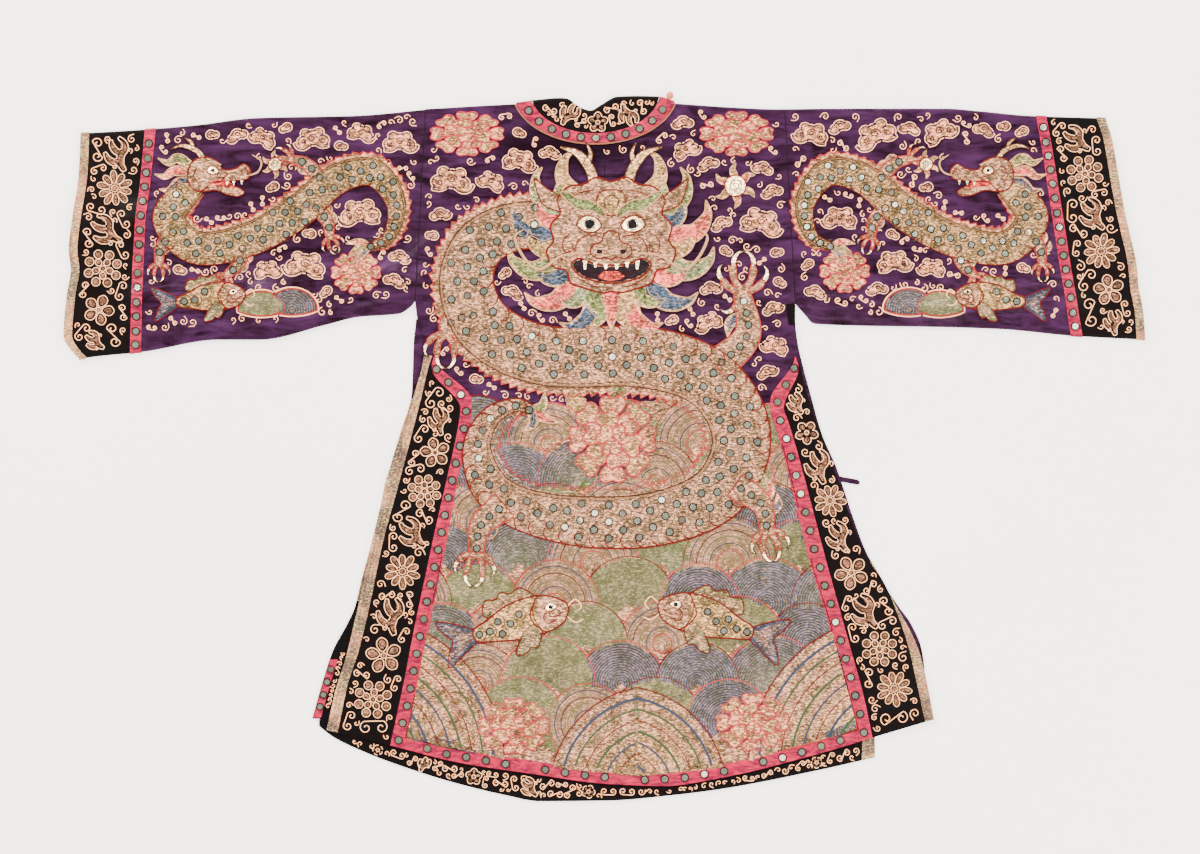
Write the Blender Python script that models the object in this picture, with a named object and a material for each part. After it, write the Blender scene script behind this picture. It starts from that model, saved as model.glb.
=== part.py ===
# A lady's dragon robe laid flat with its back upwards, built panel by panel.
# X runs across the sleeves, Y from hem to neck and Z up from the surface that it lies on.
# Sizes and table columns are in millimetres; build() turns them into metres.

import math

import bpy

millimetre = 0.001
middleX, middleY = -0.1, 1.0  # of the robe as laid out below; it becomes the origin

wall = 1.5  # satin, embroidery and lining of a panel
trim = 0.9  # ribbons, braids and borders sewn on top
gap = 0.3  # between pieces that touch
bedTop = 3.6  # where the back's inner face lies, over the layers under it
top = bedTop + wall  # the back's outer face where it lies plain
roll = top / 2  # radius of the fold at shoulders and sleeve edges
turnLength = 10.0  # how far a turned-up edge reaches back under itself
rollAngles = (60, 25, -10, -50, -90)


def table(columns, *rows):
    names = columns.split()
    return [dict(zip(names, row)) for row in rows]


# Outer lines of the layers, from the hem up.
backEdgeLeft = table("y x", (-424, -417), (-363, -403), (-319, -389), (-231, -368), (-169, -355), (-91, -336),
                     (-49, -328), (5, -307), (77, -286), (143, -271), (161, -271), (194, -281), (220, -284))
backEdgeRight = table("y x", (-408, 494), (-342, 481), (-304, 471), (-265, 453), (-241, 439), (-196, 415),
                      (-156, 392), (-100, 371), (-31, 348), (20, 326), (83, 308), (120, 298), (161, 289),
                      (191, 286), (215, 286))
frontEdgeLeft = table("y x", (-409, -439), (-342, -420), (-304, -407), (-265, -386), (-241, -375), (-196, -364),
                      (-156, -353), (-100, -339), (-31, -322), (20, -307), (83, -289), (161, -286), (191, -283),
                      (220, -284))
frontEdgeRight = table("y x", (-465, 406), (-430, 405), (-409, 451), (-372, 473), (-337, 480), (-304, 476),
                       (-265, 460), (-237, 440), (-156, 389), (-31, 344), (120, 294), (161, 286), (215, 282))
hemLine = table("x y", (-417, -424), (-322, -447), (-217, -473), (-113, -489), (7, -505), (89, -508),
                (173, -496), (323, -459), (403, -435), (494, -408))
frontHemLine = table("x y", (-439, -409), (-406, -435), (-353, -460), (-308, -477), (-233, -501), (-148, -522),
                     (-97, -531), (7, -530), (92, -523), (173, -513), (323, -484), (406, -465))
shoulderLine = table("x y", (-272, 507), (-149, 514), (-100, 516), (-62, 512), (-20, 499), (20, 513),
                     (60, 518), (113, 515), (187, 510), (256, 507), (280, 507))
centreSeam = table("y x", (-508, 50), (-290, 44), (-169, 37), (71, 29), (221, 11), (446, -1), (520, -3))
armholeLeft = table("y x", (218, -284), (508, -268))
armholeRight = table("y x", (213, 286), (508, 270))

# Lines on the back that the ribbons and borders follow.
ribbonInnerLeft = table("y x", (-440, -297), (-414, -290), (-306, -269), (-210, -250), (-138, -236), (-49, -220),
                        (58, -199), (70, -199), (134, -254), (220, -200), (520, -190))
ribbonOuterLeft = table("y x", (-440, -320), (-352, -301), (-269, -285), (-194, -269), (-119, -253), (-49, -237),
                        (48, -217), (58, -216), (119, -259), (220, -216), (520, -205))
braidInnerLeft = table("y x", (-424, -399), (-357, -385), (-304, -368), (-242, -353), (-138, -331), (-65, -311),
                       (77, -274), (119, -264), (220, -232), (520, -222))
ribbonInnerRight = table("y x", (-440, 382), (-364, 362), (-259, 334), (-163, 305), (-63, 281), (21, 259),
                         (58, 248), (68, 248), (137, 285), (215, 215), (520, 205))
ribbonOuterRight = table("y x", (-440, 403), (-370, 388), (-305, 370), (-233, 350), (-157, 329), (-88, 311),
                         (-20, 293), (41, 275), (58, 269), (119, 291), (215, 231), (520, 220))
braidInnerRight = table("y x", (-440, 490), (-408, 480), (-354, 468), (-297, 455), (-245, 437), (-205, 420),
                        (-172, 398), (-100, 367), (-31, 344), (83, 303), (119, 294), (215, 252), (520, 240))

# Outer lines of the sleeves.
sleeveTopLeft = table("x y", (-800, 470), (-697, 476), (-613, 483), (-520, 494), (-377, 497), (-262, 507))
sleeveBottomLeft = table("x y", (-811, 124), (-776, 134), (-691, 143), (-578, 161), (-517, 161), (-419, 183),
                         (-370, 195), (-308, 200), (-290, 211), (-284, 219))
cuffEndLeft = table("y x", (124, -776), (146, -800), (167, -811), (228, -806), (267, -800), (294, -803),
                    (348, -797), (410, -788), (476, -785))
cuffSeamLeft = table("y x", (134, -712), (266, -708), (341, -703), (401, -696), (480, -689))
cuffRibbonLeft = table("y x", (134, -695), (266, -691), (341, -687), (401, -680), (480, -672))
sleeveTopRight = table("x y", (272, 507), (358, 508), (511, 508), (563, 504), (640, 497), (760, 493))
sleeveBottomRight = table("x y", (286, 215), (300, 199), (314, 185), (385, 182), (503, 180), (593, 177),
                          (700, 167), (811, 161))
cuffEndRight = table("y x", (155, 811), (200, 808), (239, 801), (270, 798), (321, 787), (375, 776), (428, 767),
                     (461, 761), (498, 749))
cuffSeamRight = table("y x", (160, 718), (266, 700), (341, 688), (431, 674), (500, 662))
cuffRibbonRight = table("y x", (160, 700), (266, 683), (341, 671), (431, 658), (500, 646))
cuffBraidWidth = 13

# Rows of the back's grid, at their heights below the curve of the shoulder and above that of the hem.
bodyRows = table("y hem", (-420, 1), (-400, 1), (-380, 1), (-350, 1), (-320, 1), (-285, 0.9), (-245, 0.75),
                 (-205, 0.55), (-165, 0.35), (-125, 0.2), (-85, 0.1), (-45, 0), (-10, 0), (25, 0), (58, 0),
                 (70, 0), (90, 0), (110, 0), (122, 0), (137, 0), (160, 0), (182, 0), (216, 0), (230, 0),
                 (260, 0), (295, 0), (330, 0), (365, 0), (400, 0), (430, 0))
hemReference = -420
hemRibbonRows = 1  # grid rows under the hem ribbon
upperRows = (0.35, 0.7, 1.0)  # parts of the way from the last body row to the shoulder's roll
bodyColumns = (0.0, 0.2, 0.4, 0.6, 0.8, 1.0)  # parts of the way from the centre seam to the ribbon
bandTopLeft, bandTopRight, ribbonTopLeft, ribbonTopRight = 18, 18, 19, 19  # rows where the trims end
braidTopRight = 8  # the right braid shows below this row, and is turned under above it

# The front's left edge and hem are turned up over these stretches, each sampled in equal steps.
sideTurns = table("name low high steps look", ("front_band_turn", -407, -230, 8, "black"),
                  ("front_side_braid", -229.7, 72, 10, "braid"), ("front_side_turn", 72.3, 192, 5, "satin"))
hemTurnFrom, hemTurnTo, hemTurnSteps, hemBraidTo = -428, 386, 17, 405.5

# The largest folds: a ridge from one place to another, its height and its half width.
folds = table("x1 y1 x2 y2 height width",
              (-690, 222, -470, 240, 5, 34), (-500, 236, -300, 262, 6, 40), (-380, 205, -262, 300, 4, 34),
              (-700, 345, -560, 330, 4, 40), (-810, 330, -640, 345, 3, 44), (-330, 320, -262, 400, 3, 44),
              (300, 214, 520, 205, 5, 36), (480, 215, 690, 232, 6, 40), (300, 225, 262, 330, 4, 36),
              (640, 330, 790, 300, 4, 44), (520, 380, 660, 360, 3, 44), (-150, 120, -60, 240, 4, 48),
              (150, 150, 230, 260, 4, 46), (-90, -170, 60, -140, 3, 50), (190, -210, 300, -165, 5, 42),
              (-230, -330, -120, -300, 3, 46), (60, -380, 110, -300, 3, 46))

# The collar lies between two arcs of one centre and the robe's top edge.
collarCentreX, collarCentreY = -14, 533
collarOuterX, collarOuterY = 122, 77
collarInnerX, collarInnerY = 97, 62
collarTop = table("x y", (-150, 516), (-135, 517), (-103, 521), (-67, 524), (-55, 523), (-44, 515), (-32, 508),
                  (-20, 505), (-11, 510), (0, 517), (10, 523), (18, 526), (50, 527), (84, 526), (106, 519),
                  (125, 515))
cordSize = 2.2

buttonX, buttonRadius, buttonSink = 98, 6, 0.5
tieRow, tieWidth, tieReach, tieThick = -47, 8, 33, 1.2


# ---- curves and heights ----

def follow(rows, at):
    keyName, valueName = list(rows[0])[:2]
    keys = [row[keyName] for row in rows]
    values = [row[valueName] for row in rows]
    if at <= keys[0] or at >= keys[-1]:
        low = 0 if at <= keys[0] else len(keys) - 2
        slope = (values[low + 1] - values[low]) / (keys[low + 1] - keys[low])
        return values[low] + slope * (at - keys[low])
    low = max(i for i in range(len(keys) - 1) if keys[i] <= at)
    steps = [(values[i + 1] - values[i]) / (keys[i + 1] - keys[i]) for i in range(len(keys) - 1)]

    def tangent(i):
        if i in (0, len(keys) - 1):
            return steps[min(i, len(steps) - 1)]
        if steps[i - 1] * steps[i] <= 0:
            return 0.0
        return 2 * steps[i - 1] * steps[i] / (steps[i - 1] + steps[i])

    span = keys[low + 1] - keys[low]
    t = (at - keys[low]) / span
    rise = tangent(low) * span * (t - 2 * t ** 2 + t ** 3) + tangent(low + 1) * span * (t ** 3 - t ** 2)
    return values[low] + (values[low + 1] - values[low]) * (3 * t ** 2 - 2 * t ** 3) + rise


def mix(a, b, t):
    return a + (b - a) * t


def straight(rows, at):
    # the value on the straight line between two rows, which are in order
    keyName, valueName = list(rows[0])[:2]
    for a, b in zip(rows, rows[1:]):
        if a[keyName] <= at <= b[keyName]:
            return mix(a[valueName], b[valueName], (at - a[keyName]) / (b[keyName] - a[keyName]))


def foldHeight(x, y):
    total = 0.0
    for fold in folds:
        dx, dy = fold["x2"] - fold["x1"], fold["y2"] - fold["y1"]
        length = math.hypot(dx, dy)
        along = ((x - fold["x1"]) * dx + (y - fold["y1"]) * dy) / length
        across = abs((x - fold["x1"]) * dy - (y - fold["y1"]) * dx) / length
        past = max(0.0, -along, along - length)
        distance = math.hypot(across, past) / fold["width"]
        if distance < 1:
            total += fold["height"] * math.cos(math.pi / 2 * distance) ** 2
    return total


def sleeveFade(x, y):
    if x < follow(armholeLeft, max(y, 219)):
        room = min(y - follow(sleeveBottomLeft, x), follow(sleeveTopLeft, x) - y)
    elif x > follow(armholeRight, max(y, 214)):
        room = min(y - follow(sleeveBottomRight, x), follow(sleeveTopRight, x) - y)
    else:
        return 1.0
    return max(0.0, min(1.0, (room - 3) / 22))


def height(x, y):
    return top + foldHeight(x, y) * sleeveFade(x, y)


# ---- solids from grids of points ----

def build(name, points, faces, look):
    mesh = bpy.data.meshes.new(name)
    placed = [((x - middleX) * millimetre, (y - middleY) * millimetre, z * millimetre) for x, y, z in points]
    mesh.from_pydata(placed, [], faces)
    mesh.validate()
    mesh.materials.append(look)
    made = bpy.data.objects.new(name, mesh)
    bpy.context.collection.objects.link(made)
    return made


def wallBetween(name, outer, inner, look, ring=False):
    # outer and inner are grids of the same size; ring joins the last point of each row to its first
    rows, columns = len(outer), len(outer[0])
    points = [p for row in outer for p in row] + [p for row in inner for p in row]
    half = rows * columns
    faces = []

    def quad(a, b, c, d):
        faces.append((a, b, c))
        faces.append((a, c, d))

    def at(i, j):
        return i * columns + j % columns

    spans = columns if ring else columns - 1
    for i in range(rows - 1):
        for j in range(spans):
            a, b, c, d = at(i, j), at(i, j + 1), at(i + 1, j + 1), at(i + 1, j)
            quad(a, b, c, d)
            faces.append((a + half, c + half, b + half))
            faces.append((a + half, d + half, c + half))
    for j in range(spans):
        quad(at(0, j + 1), at(0, j), at(0, j) + half, at(0, j + 1) + half)
        last = rows - 1
        quad(at(last, j), at(last, j + 1), at(last, j + 1) + half, at(last, j) + half)
    if not ring:
        for i in range(rows - 1):
            last = columns - 1
            quad(at(i, 0), at(i + 1, 0), at(i + 1, 0) + half, at(i, 0) + half)
            quad(at(i + 1, last), at(i, last), at(i, last) + half, at(i + 1, last) + half)
    volume = 0.0
    for a, b, c in faces:
        (ax, ay, az), (bx, by, bz), (cx, cy, cz) = points[a], points[b], points[c]
        volume += ax * (by * cz - bz * cy) + ay * (bz * cx - bx * cz) + az * (bx * cy - by * cx)
    if volume < 0:
        faces = [face[::-1] for face in faces]
    return build(name, points, faces, look)


def lifted(grid, by):
    return [[(x, y, z + by) for x, y, z in row] for row in grid]


def inset(grid, by):
    # moves a grid's outer rows and columns inwards along its own lines, so that it stays on its facets
    def toward(p, q):
        part = by / math.dist(p, q)
        return tuple(mix(a, b, part) for a, b in zip(p, q))

    rows = [list(row) for row in grid]
    for row in rows:
        row[0], row[-1] = toward(row[0], row[1]), toward(row[-1], row[-2])
    first = [toward(p, q) for p, q in zip(rows[0], rows[1])]
    last = [toward(p, q) for p, q in zip(rows[-1], rows[-2])]
    return [first] + rows[1:-1] + [last]


def laidOn(name, grid, look, lift=gap, thick=trim):
    grid = inset(grid, gap / 2)
    return wallBetween(name, lifted(grid, lift + thick), lifted(grid, lift), look)


# ---- body ----

def backGrid(side):
    left = side == "left"
    edge = backEdgeLeft if left else backEdgeRight
    hole = armholeLeft if left else armholeRight
    inner = ribbonInnerLeft if left else ribbonInnerRight
    outer = ribbonOuterLeft if left else ribbonOuterRight
    braid = braidInnerLeft if left else braidInnerRight
    away = -1 if left else 1
    armpit = hole[0]["y"]

    def columnX(j, y):
        seam = follow(centreSeam, y) + away * gap / 2
        last = len(bodyColumns) - 1
        if j <= last:
            return mix(seam, follow(inner, y), bodyColumns[j])
        if j == last + 1:
            return follow(outer, y)
        if j == last + 2:
            return mix(follow(outer, y), follow(braid, y), 0.5)
        if j == last + 3:
            return follow(braid, y)
        return follow(edge if y <= armpit else hole, y) - away * gap / 2

    columns = len(bodyColumns) + 4
    grid = []
    for place in bodyRows:
        row = []
        for j in range(columns):
            y = place["y"]
            for _ in range(4):
                x = columnX(j, y)
                y = place["y"] + place["hem"] * (follow(hemLine, x) - hemReference)
            row.append((x, y, height(x, y)))
        grid.append(row)
    start = grid[-1]
    for part in upperRows:
        row = []
        for j in range(columns):
            y = mix(start[j][1], follow(shoulderLine, start[j][0]) - roll, part)
            x = columnX(j, y)
            row.append((x, y, height(x, y)))
        grid.append(row)
    return grid


def backPanel(side, look):
    grid = backGrid(side)
    outer, inner = [list(row) for row in grid], lifted(grid, -wall)
    for degrees in rollAngles:
        angle = math.radians(degrees)
        rows = []
        for radius in (roll, roll - wall):
            rows.append([(x, y + radius * math.cos(angle), roll + radius * math.sin(angle))
                         for x, y, _ in grid[-1]])
        outer.append(rows[0])
        inner.append(rows[1])
    wallBetween(f"back_{side}", outer, inner, look)
    return grid


def part(grid, rowFrom, rowTo, columnFrom, columnTo):
    return [row[columnFrom:columnTo + 1] for row in grid[rowFrom:rowTo + 1]]


def plate(name, outline, low, high, look):
    count = len(outline)
    points = [(x, y, low) for x, y in outline] + [(x, y, high) for x, y in outline]
    area = sum(a[0] * b[1] - b[0] * a[1] for a, b in zip(outline, outline[1:] + outline[:1]))
    order = list(range(count)) if area > 0 else list(range(count))[::-1]
    faces = [tuple(order[::-1]), tuple(i + count for i in order)]
    for a, b in zip(order, order[1:] + order[:1]):
        faces.append((a, b, b + count, a + count))
    return build(name, points, faces, look)


def turnedEdge(name, places, look):
    # places are (edge point, unit step inwards, width) along the fold; returns the upper leg's points
    high = 2 * wall + gap
    radius = high / 2
    outer, inner = [], []
    for (x, y), (stepX, stepY), width in places:
        for kept, size, upper, lower in ((outer, radius, high, 0.0), (inner, gap / 2, high - wall, wall)):
            row = [(x + stepX * width, y + stepY * width, upper)]
            row.append((x + stepX * mix(width, radius, 0.5), y + stepY * mix(width, radius, 0.5), upper))
            for degrees in (90, 45, 0, -45, -90):
                angle = math.radians(degrees)
                reach = radius - size * math.cos(angle)
                row.append((x + stepX * reach, y + stepY * reach, radius + size * math.sin(angle)))
            row.append((x + stepX * turnLength, y + stepY * turnLength, lower))
            kept.append(row)
    wallBetween(name, outer, inner, look)
    return [row[:3] for row in outer]


# ---- sleeves ----

def sleevePoint(side, along, across, between):
    # along runs between two upright lines, across from the bottom edge to the top edge
    bottom, upper = (sleeveBottomLeft, sleeveTopLeft) if side == "left" else (sleeveBottomRight, sleeveTopRight)
    y = 320.0
    for _ in range(8):
        x = mix(follow(between[0], y), follow(between[1], y), along)
        low, high = follow(bottom, x) + roll, follow(upper, x) - roll
        y = mix(low, high, across)
    return x, y


acrossSteps = [i / 13 for i in range(14)]


def tube(name, side, between, alongSteps, look, cutStart, cutEnd):
    # returns the grid of the upper face; cutStart and cutEnd shift the ends along X for the seam gaps
    away = -1 if side == "left" else 1
    upper = []
    for along in alongSteps:
        shift = away * (cutStart if along == alongSteps[0] else -cutEnd if along == alongSteps[-1] else 0)
        row = []
        for across in acrossSteps:
            x, y = sleevePoint(side, along, across, between)
            row.append((x + shift, y, height(x + shift, y)))
        upper.append(row)
    outer, inner = [], []
    for row in upper:
        (xLow, yLow, _), (xHigh, yHigh, _) = row[0], row[-1]
        for kept, radius, drop in ((outer, roll, 0.0), (inner, roll - wall, wall)):
            ring = [(x, y, z - drop) for x, y, z in row]
            for degrees in (45, 0, -45, -90):
                angle = math.radians(degrees)
                ring.append((xHigh, yHigh + radius * math.cos(angle), roll + radius * math.sin(angle)))
            for step in (0.66, 0.33):
                ring.append((mix(xLow, xHigh, step), mix(yLow, yHigh, step), drop))
            for degrees in (-90, -45, 0, 45):
                angle = math.radians(degrees)
                ring.append((xLow, yLow - radius * math.cos(angle), roll + radius * math.sin(angle)))
            kept.append(ring)
    wallBetween(name, outer, inner, look, ring=True)
    return upper


def spaced(count):
    return [i / count for i in range(count + 1)]


def sleeve(side, looks):
    left = side == "left"
    hole = armholeLeft if left else armholeRight
    ribbon = cuffRibbonLeft if left else cuffRibbonRight
    seam = cuffSeamLeft if left else cuffSeamRight
    end = cuffEndLeft if left else cuffEndRight
    away = -1 if left else 1
    # the sleeve's last cell lies under the ribbon, the cuff's last one under the braid
    length = abs(follow(seam, 320) - follow(hole, 320))
    last = 1 - abs(follow(seam, 320) - follow(ribbon, 320)) / length
    steps = [last * step for step in spaced(15)] + [1.0]
    upper = tube(f"sleeve_{side}", side, (hole, seam), steps, looks["satin"], gap / 2, gap / 2)
    laidOn(f"cuff_ribbon_{side}", upper[-2:], looks["pink"])
    width = abs(follow(end, 320) - follow(seam, 320))
    last = 1 - cuffBraidWidth / width
    steps = [last * step for step in spaced(4)] + [1.0]
    upper = tube(f"cuff_{side}", side, (seam, end), steps, looks["black"], gap / 2, 0.0)
    laidOn(f"cuff_braid_{side}", upper[-2:], looks["braid"])


# ---- front, mostly hidden ----

neckFrontY = 438
closingLine = table("x y", (-5, 436), (60, 380), (150, 290), (230, 235), (300, 208))


def rollEnd(row, x):
    # where the shoulder's fold ends at x, along the straight facets of the back
    for a, b in zip(row, row[1:]):
        if min(a[0], b[0]) <= x <= max(a[0], b[0]):
            return mix(a[1], b[1], (x - a[0]) / (b[0] - a[0]))
    return min(row, key=lambda p: abs(p[0] - x))[1]


def frontPanels(looks, backLeft, backRight):
    insideLeft = turnLength + gap
    outline = []
    for turn in sideTurns:
        for step in spaced(turn["steps"]):
            y = mix(turn["low"], turn["high"], step)
            outline.append((follow(frontEdgeLeft, y) + insideLeft, y))
    outline.append((follow(frontEdgeLeft, 192) + insideLeft, 215))
    for y in (236, 380):
        outline.append((follow(armholeLeft, y) + gap, y))
    for x, y, _ in reversed(backLeft[-1]):
        if x < -75:
            outline.append((x + (gap if x < -260 else 0), y - gap))
    for degrees in (200, 225, 250, 270):
        angle = math.radians(degrees)
        outline.append((-14 + 66 * math.cos(angle), 512 + 74 * math.sin(angle)))
    split = follow(centreSeam, 430) - gap / 2
    outline = [p for p in outline if p[0] < split]
    for y in (420, 300, 200, 71, -50, -169, -290, -400, -500):
        outline.append((follow(centreSeam, y) - gap / 2, y))
    hemStops = [mix(hemTurnFrom, hemTurnTo, step) for step in spaced(hemTurnSteps)]
    for x in reversed([x for x in hemStops[1:] if x < follow(centreSeam, -500) - 1]):
        outline.append((x, follow(frontHemLine, x) + insideLeft))
    plate("front_left", outline, 0.0, wall, looks["satin"])

    outline = [(follow(centreSeam, y) + gap / 2, y) for y in (-505, -400, -290, -169, -50, 71, 200, 300, 420)]
    for x in (20, 60, 105, 150, 190, 230, 262, 280):
        outline.append((x, follow(closingLine, x)))
    for row in reversed(frontEdgeRight[1:-1]):
        outline.append((row["x"], row["y"]))
    for x in reversed([x for x in hemStops if x > follow(centreSeam, -500) + 1] + [hemBraidTo]):
        outline.append((x, follow(frontHemLine, x) + insideLeft))
    plate("front_right", outline, 0.0, wall, looks["satin"])

    # the underlap steps down to the sleeve's lower wall above the closing line
    rows = []
    steps = 9
    for i in range(steps):
        x = mix(8, 269.5, i / (steps - 1))
        close = follow(closingLine, x)
        line = [(x, mix(-400, close - 4, part), wall + gap) for part in spaced(5)]
        line += [(x, close + 0.6, wall + gap), (x, close + 7, 0.0)]
        if x < 60:
            high = 512 - 74 * math.sqrt(max(0.0, 1 - ((x + 14) / 80) ** 2)) + 8
        else:
            high = rollEnd(backRight[-1], x) - 2 * gap
        line += [(x, mix(close + 7, high, part), 0.0) for part in (0.4, 0.75, 1.0)]
        rows.append(line)
    wallBetween("front_underlap", lifted(rows, wall), rows, looks["satin"])


def frontTurns(looks):
    def sidePlaces(low, high, count, width):
        found = []
        for step in spaced(count):
            y = mix(low, high, step)
            found.append(((follow(frontEdgeLeft, y), y), (1.0, 0.0), width(y)))
        return found

    def reach(y):
        # as far as the back's edge and a little under it
        return max(follow(backEdgeLeft, max(y, -424)) - follow(frontEdgeLeft, y), 4) + 9

    for turn in sideTurns:
        places = sidePlaces(turn["low"], turn["high"], turn["steps"], reach)
        tops = turnedEdge(turn["name"], places, looks[turn["look"]])
        if turn["name"] == "front_band_turn":
            grid = []
            for row in tops:
                xOut, y, z = row[2]
                room = follow(backEdgeLeft, max(y, -424)) - xOut - 2
                if room > 5:
                    grid.append([(xOut + 1, y, z), (xOut + min(13, room), y, z)])
            laidOn("front_band_ribbon", grid, looks["pink"], gap, 0.6)
    places = []
    for step in spaced(hemTurnSteps):
        x = mix(hemTurnFrom, hemTurnTo, step)
        y = follow(frontHemLine, x)
        full = max(follow(hemLine, max(x, -417)) - y, 10) + 14
        places.append(((x, y), (0.0, 1.0), min(full, -409.4 - y)))
    turnedEdge("front_hem_turn", places, looks["black"])
    places = []
    for step in spaced(2):
        x = mix(hemTurnTo + gap, hemBraidTo, step)
        y = follow(frontHemLine, x)
        places.append(((x, y), (0.0, 1.0), follow(hemLine, x) - y + 8))
    turnedEdge("front_hem_braid", places, looks["braid"])


# ---- collar and closing ----

def arcPoint(radiusX, radiusY, degrees):
    angle = math.radians(degrees)
    return collarCentreX + radiusX * math.cos(angle), collarCentreY + radiusY * math.sin(angle)


def arcEnds(radiusX, radiusY):
    # the angles, left and right, where an arc meets the flat part of the collar's top edge
    ends = []
    for away in (-1, 1):
        angle = 270.0
        while True:
            x, y = arcPoint(radiusX, radiusY, angle)
            if y >= follow(collarTop, x) - roll or abs(angle - 270) > 88:
                break
            angle += away * 0.25
        ends.append(angle)
    return ends


def overEdge(row, radius, angles=(60, 30, 0, -30)):
    # continues a row of flat points down over the robe's top edge, round the panel's own fold
    for degrees in angles:
        angle = math.radians(degrees)
        yield [(x, y + radius * math.cos(angle), roll + radius * math.sin(angle)) for x, y, _ in row]


def collar(looks):
    low = top + gap
    columns = 16
    innerEnds = arcEnds(collarInnerX + 0.5, collarInnerY + 0.5)
    bottomLine = []
    for step in spaced(columns):
        angle = mix(innerEnds[0], innerEnds[1], step)
        bottomLine.append(arcPoint(collarInnerX - gap, collarInnerY - gap, angle))
    grids = []
    for lift, radius in ((trim, roll + gap + trim), (0.0, roll + gap)):
        rows = []
        for part in (0.0, 0.5, 1.0):
            row = []
            for x, y in bottomLine:
                high = max(follow(collarTop, x) - roll - gap - trim, y + 1.5)
                row.append((x, mix(y, high, part), low + lift))
            rows.append(row)
        rows += list(overEdge(rows[-1], radius))
        grids.append(rows)
    wallBetween("collar_band", grids[0], grids[1], looks["black"])

    outerEnds = arcEnds(collarOuterX, collarOuterY)
    innerEnds = arcEnds(collarInnerX, collarInnerY)
    grids = []
    for lift, radius in ((trim, roll + gap + trim), (0.0, roll + gap)):
        rows = []
        for step in spaced(22):
            angles = [mix(ends[0], ends[1], step) for ends in (outerEnds, innerEnds)]
            outerPoint = arcPoint(collarOuterX, collarOuterY, angles[0])
            innerPoint = arcPoint(collarInnerX, collarInnerY, angles[1])
            rows.append([(*outerPoint, low + lift), (*innerPoint, low + lift)])
        for row in (rows[0], rows[-1]):
            for i, (x, y, z) in enumerate(row):
                row[i] = (x, follow(collarTop, x) - roll - gap - trim, z)
        rows = list(overEdge(rows[0], radius))[::-1] + rows + list(overEdge(rows[-1], radius))
        grids.append(rows)
    wallBetween("collar_ribbon", grids[0], grids[1], looks["pink"])

    rings = []
    size = cordSize / 2
    for step in spaced(30):
        angle = mix(outerEnds[0] + 0.6, outerEnds[1] - 0.6, step)
        ring = []
        for degrees in range(0, 360, 60):
            turn = math.radians(degrees + 30)
            away = gap + size + size * math.cos(turn)
            x, y = arcPoint(collarOuterX + away, collarOuterY + away, angle)
            ring.append((x, y, low + size + size * math.sin(turn)))
        rings.append(ring)
    closedRod("collar_cord", rings, looks["braid"])


def closedRod(name, rings, look):
    count = len(rings[0])
    points = [p for ring in rings for p in ring]
    faces = []
    for i in range(len(rings) - 1):
        for j in range(count):
            a, b = i * count + j, i * count + (j + 1) % count
            faces.append((a, b, b + count))
            faces.append((a, b + count, a + count))
    faces.append(tuple(range(count))[::-1])
    last = (len(rings) - 1) * count
    faces.append(tuple(last + j for j in range(count)))
    volume = 0.0
    for face in faces:
        for b, c in zip(face[1:-1], face[2:]):
            (ax, ay, az), (bx, by, bz), (cx, cy, cz) = points[face[0]], points[b], points[c]
            volume += ax * (by * cz - bz * cy) + ay * (bz * cx - bx * cz) + az * (bx * cy - by * cx)
    if volume < 0:
        faces = [face[::-1] for face in faces]
    return build(name, points, faces, look)


def closing(looks, backRight):
    # a knot button just outside the collar's right end
    y = follow(collarTop, buttonX) + buttonRadius - buttonSink
    rings = []
    for latitude in (-75, -50, -20, 10, 40, 70):
        angle = math.radians(latitude)
        radius = buttonRadius * math.cos(angle)
        z = buttonRadius + buttonRadius * math.sin(angle)
        rings.append([(buttonX + radius * math.cos(math.radians(turn)),
                       y + radius * math.sin(math.radians(turn)), z) for turn in range(0, 360, 36)])
    low = buttonRadius - buttonRadius * math.sin(math.radians(75))
    rings = [[(x, yy, z - low) for x, yy, z in ring] for ring in rings]
    closedRod("knot_button", rings, looks["cord"])

    # the tie ribbon lies on the surface beside the right front
    x = straight(frontEdgeRight, tieRow - tieWidth / 2) + gap
    rows = []
    for step in spaced(4):
        away = x + step * tieReach
        dip = -6 * step
        rows.append([(away, tieRow - tieWidth / 2 + dip, tieThick), (away, tieRow + tieWidth / 2 + dip, tieThick)])
    wallBetween("side_tie", rows, lifted(rows, -tieThick), looks["satin"])

    # the dark loop at the underarm
    rowsAt = [i for i, place in enumerate(bodyRows) if 180 < place["y"] < 218]
    grid = part(backRight, rowsAt[0], rowsAt[-1], len(backRight[0]) - 2, len(backRight[0]) - 1)
    level = max(point[2] for row in grid for point in row)
    grid = [[(mix(row[0][0], row[1][0], 0.62), row[1][1], level), (row[1][0], row[1][1], level)] for row in grid]
    laidOn("underarm_tab", grid, looks["black"])


def paint(name, colour, roughness, metallic=0.0):
    look = bpy.data.materials.new(name)
    look.use_nodes = True
    shader = look.node_tree.nodes["Principled BSDF"]
    shader.inputs["Base Color"].default_value = (*colour, 1.0)
    shader.inputs["Roughness"].default_value = roughness
    shader.inputs["Metallic"].default_value = metallic
    return look


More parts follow.
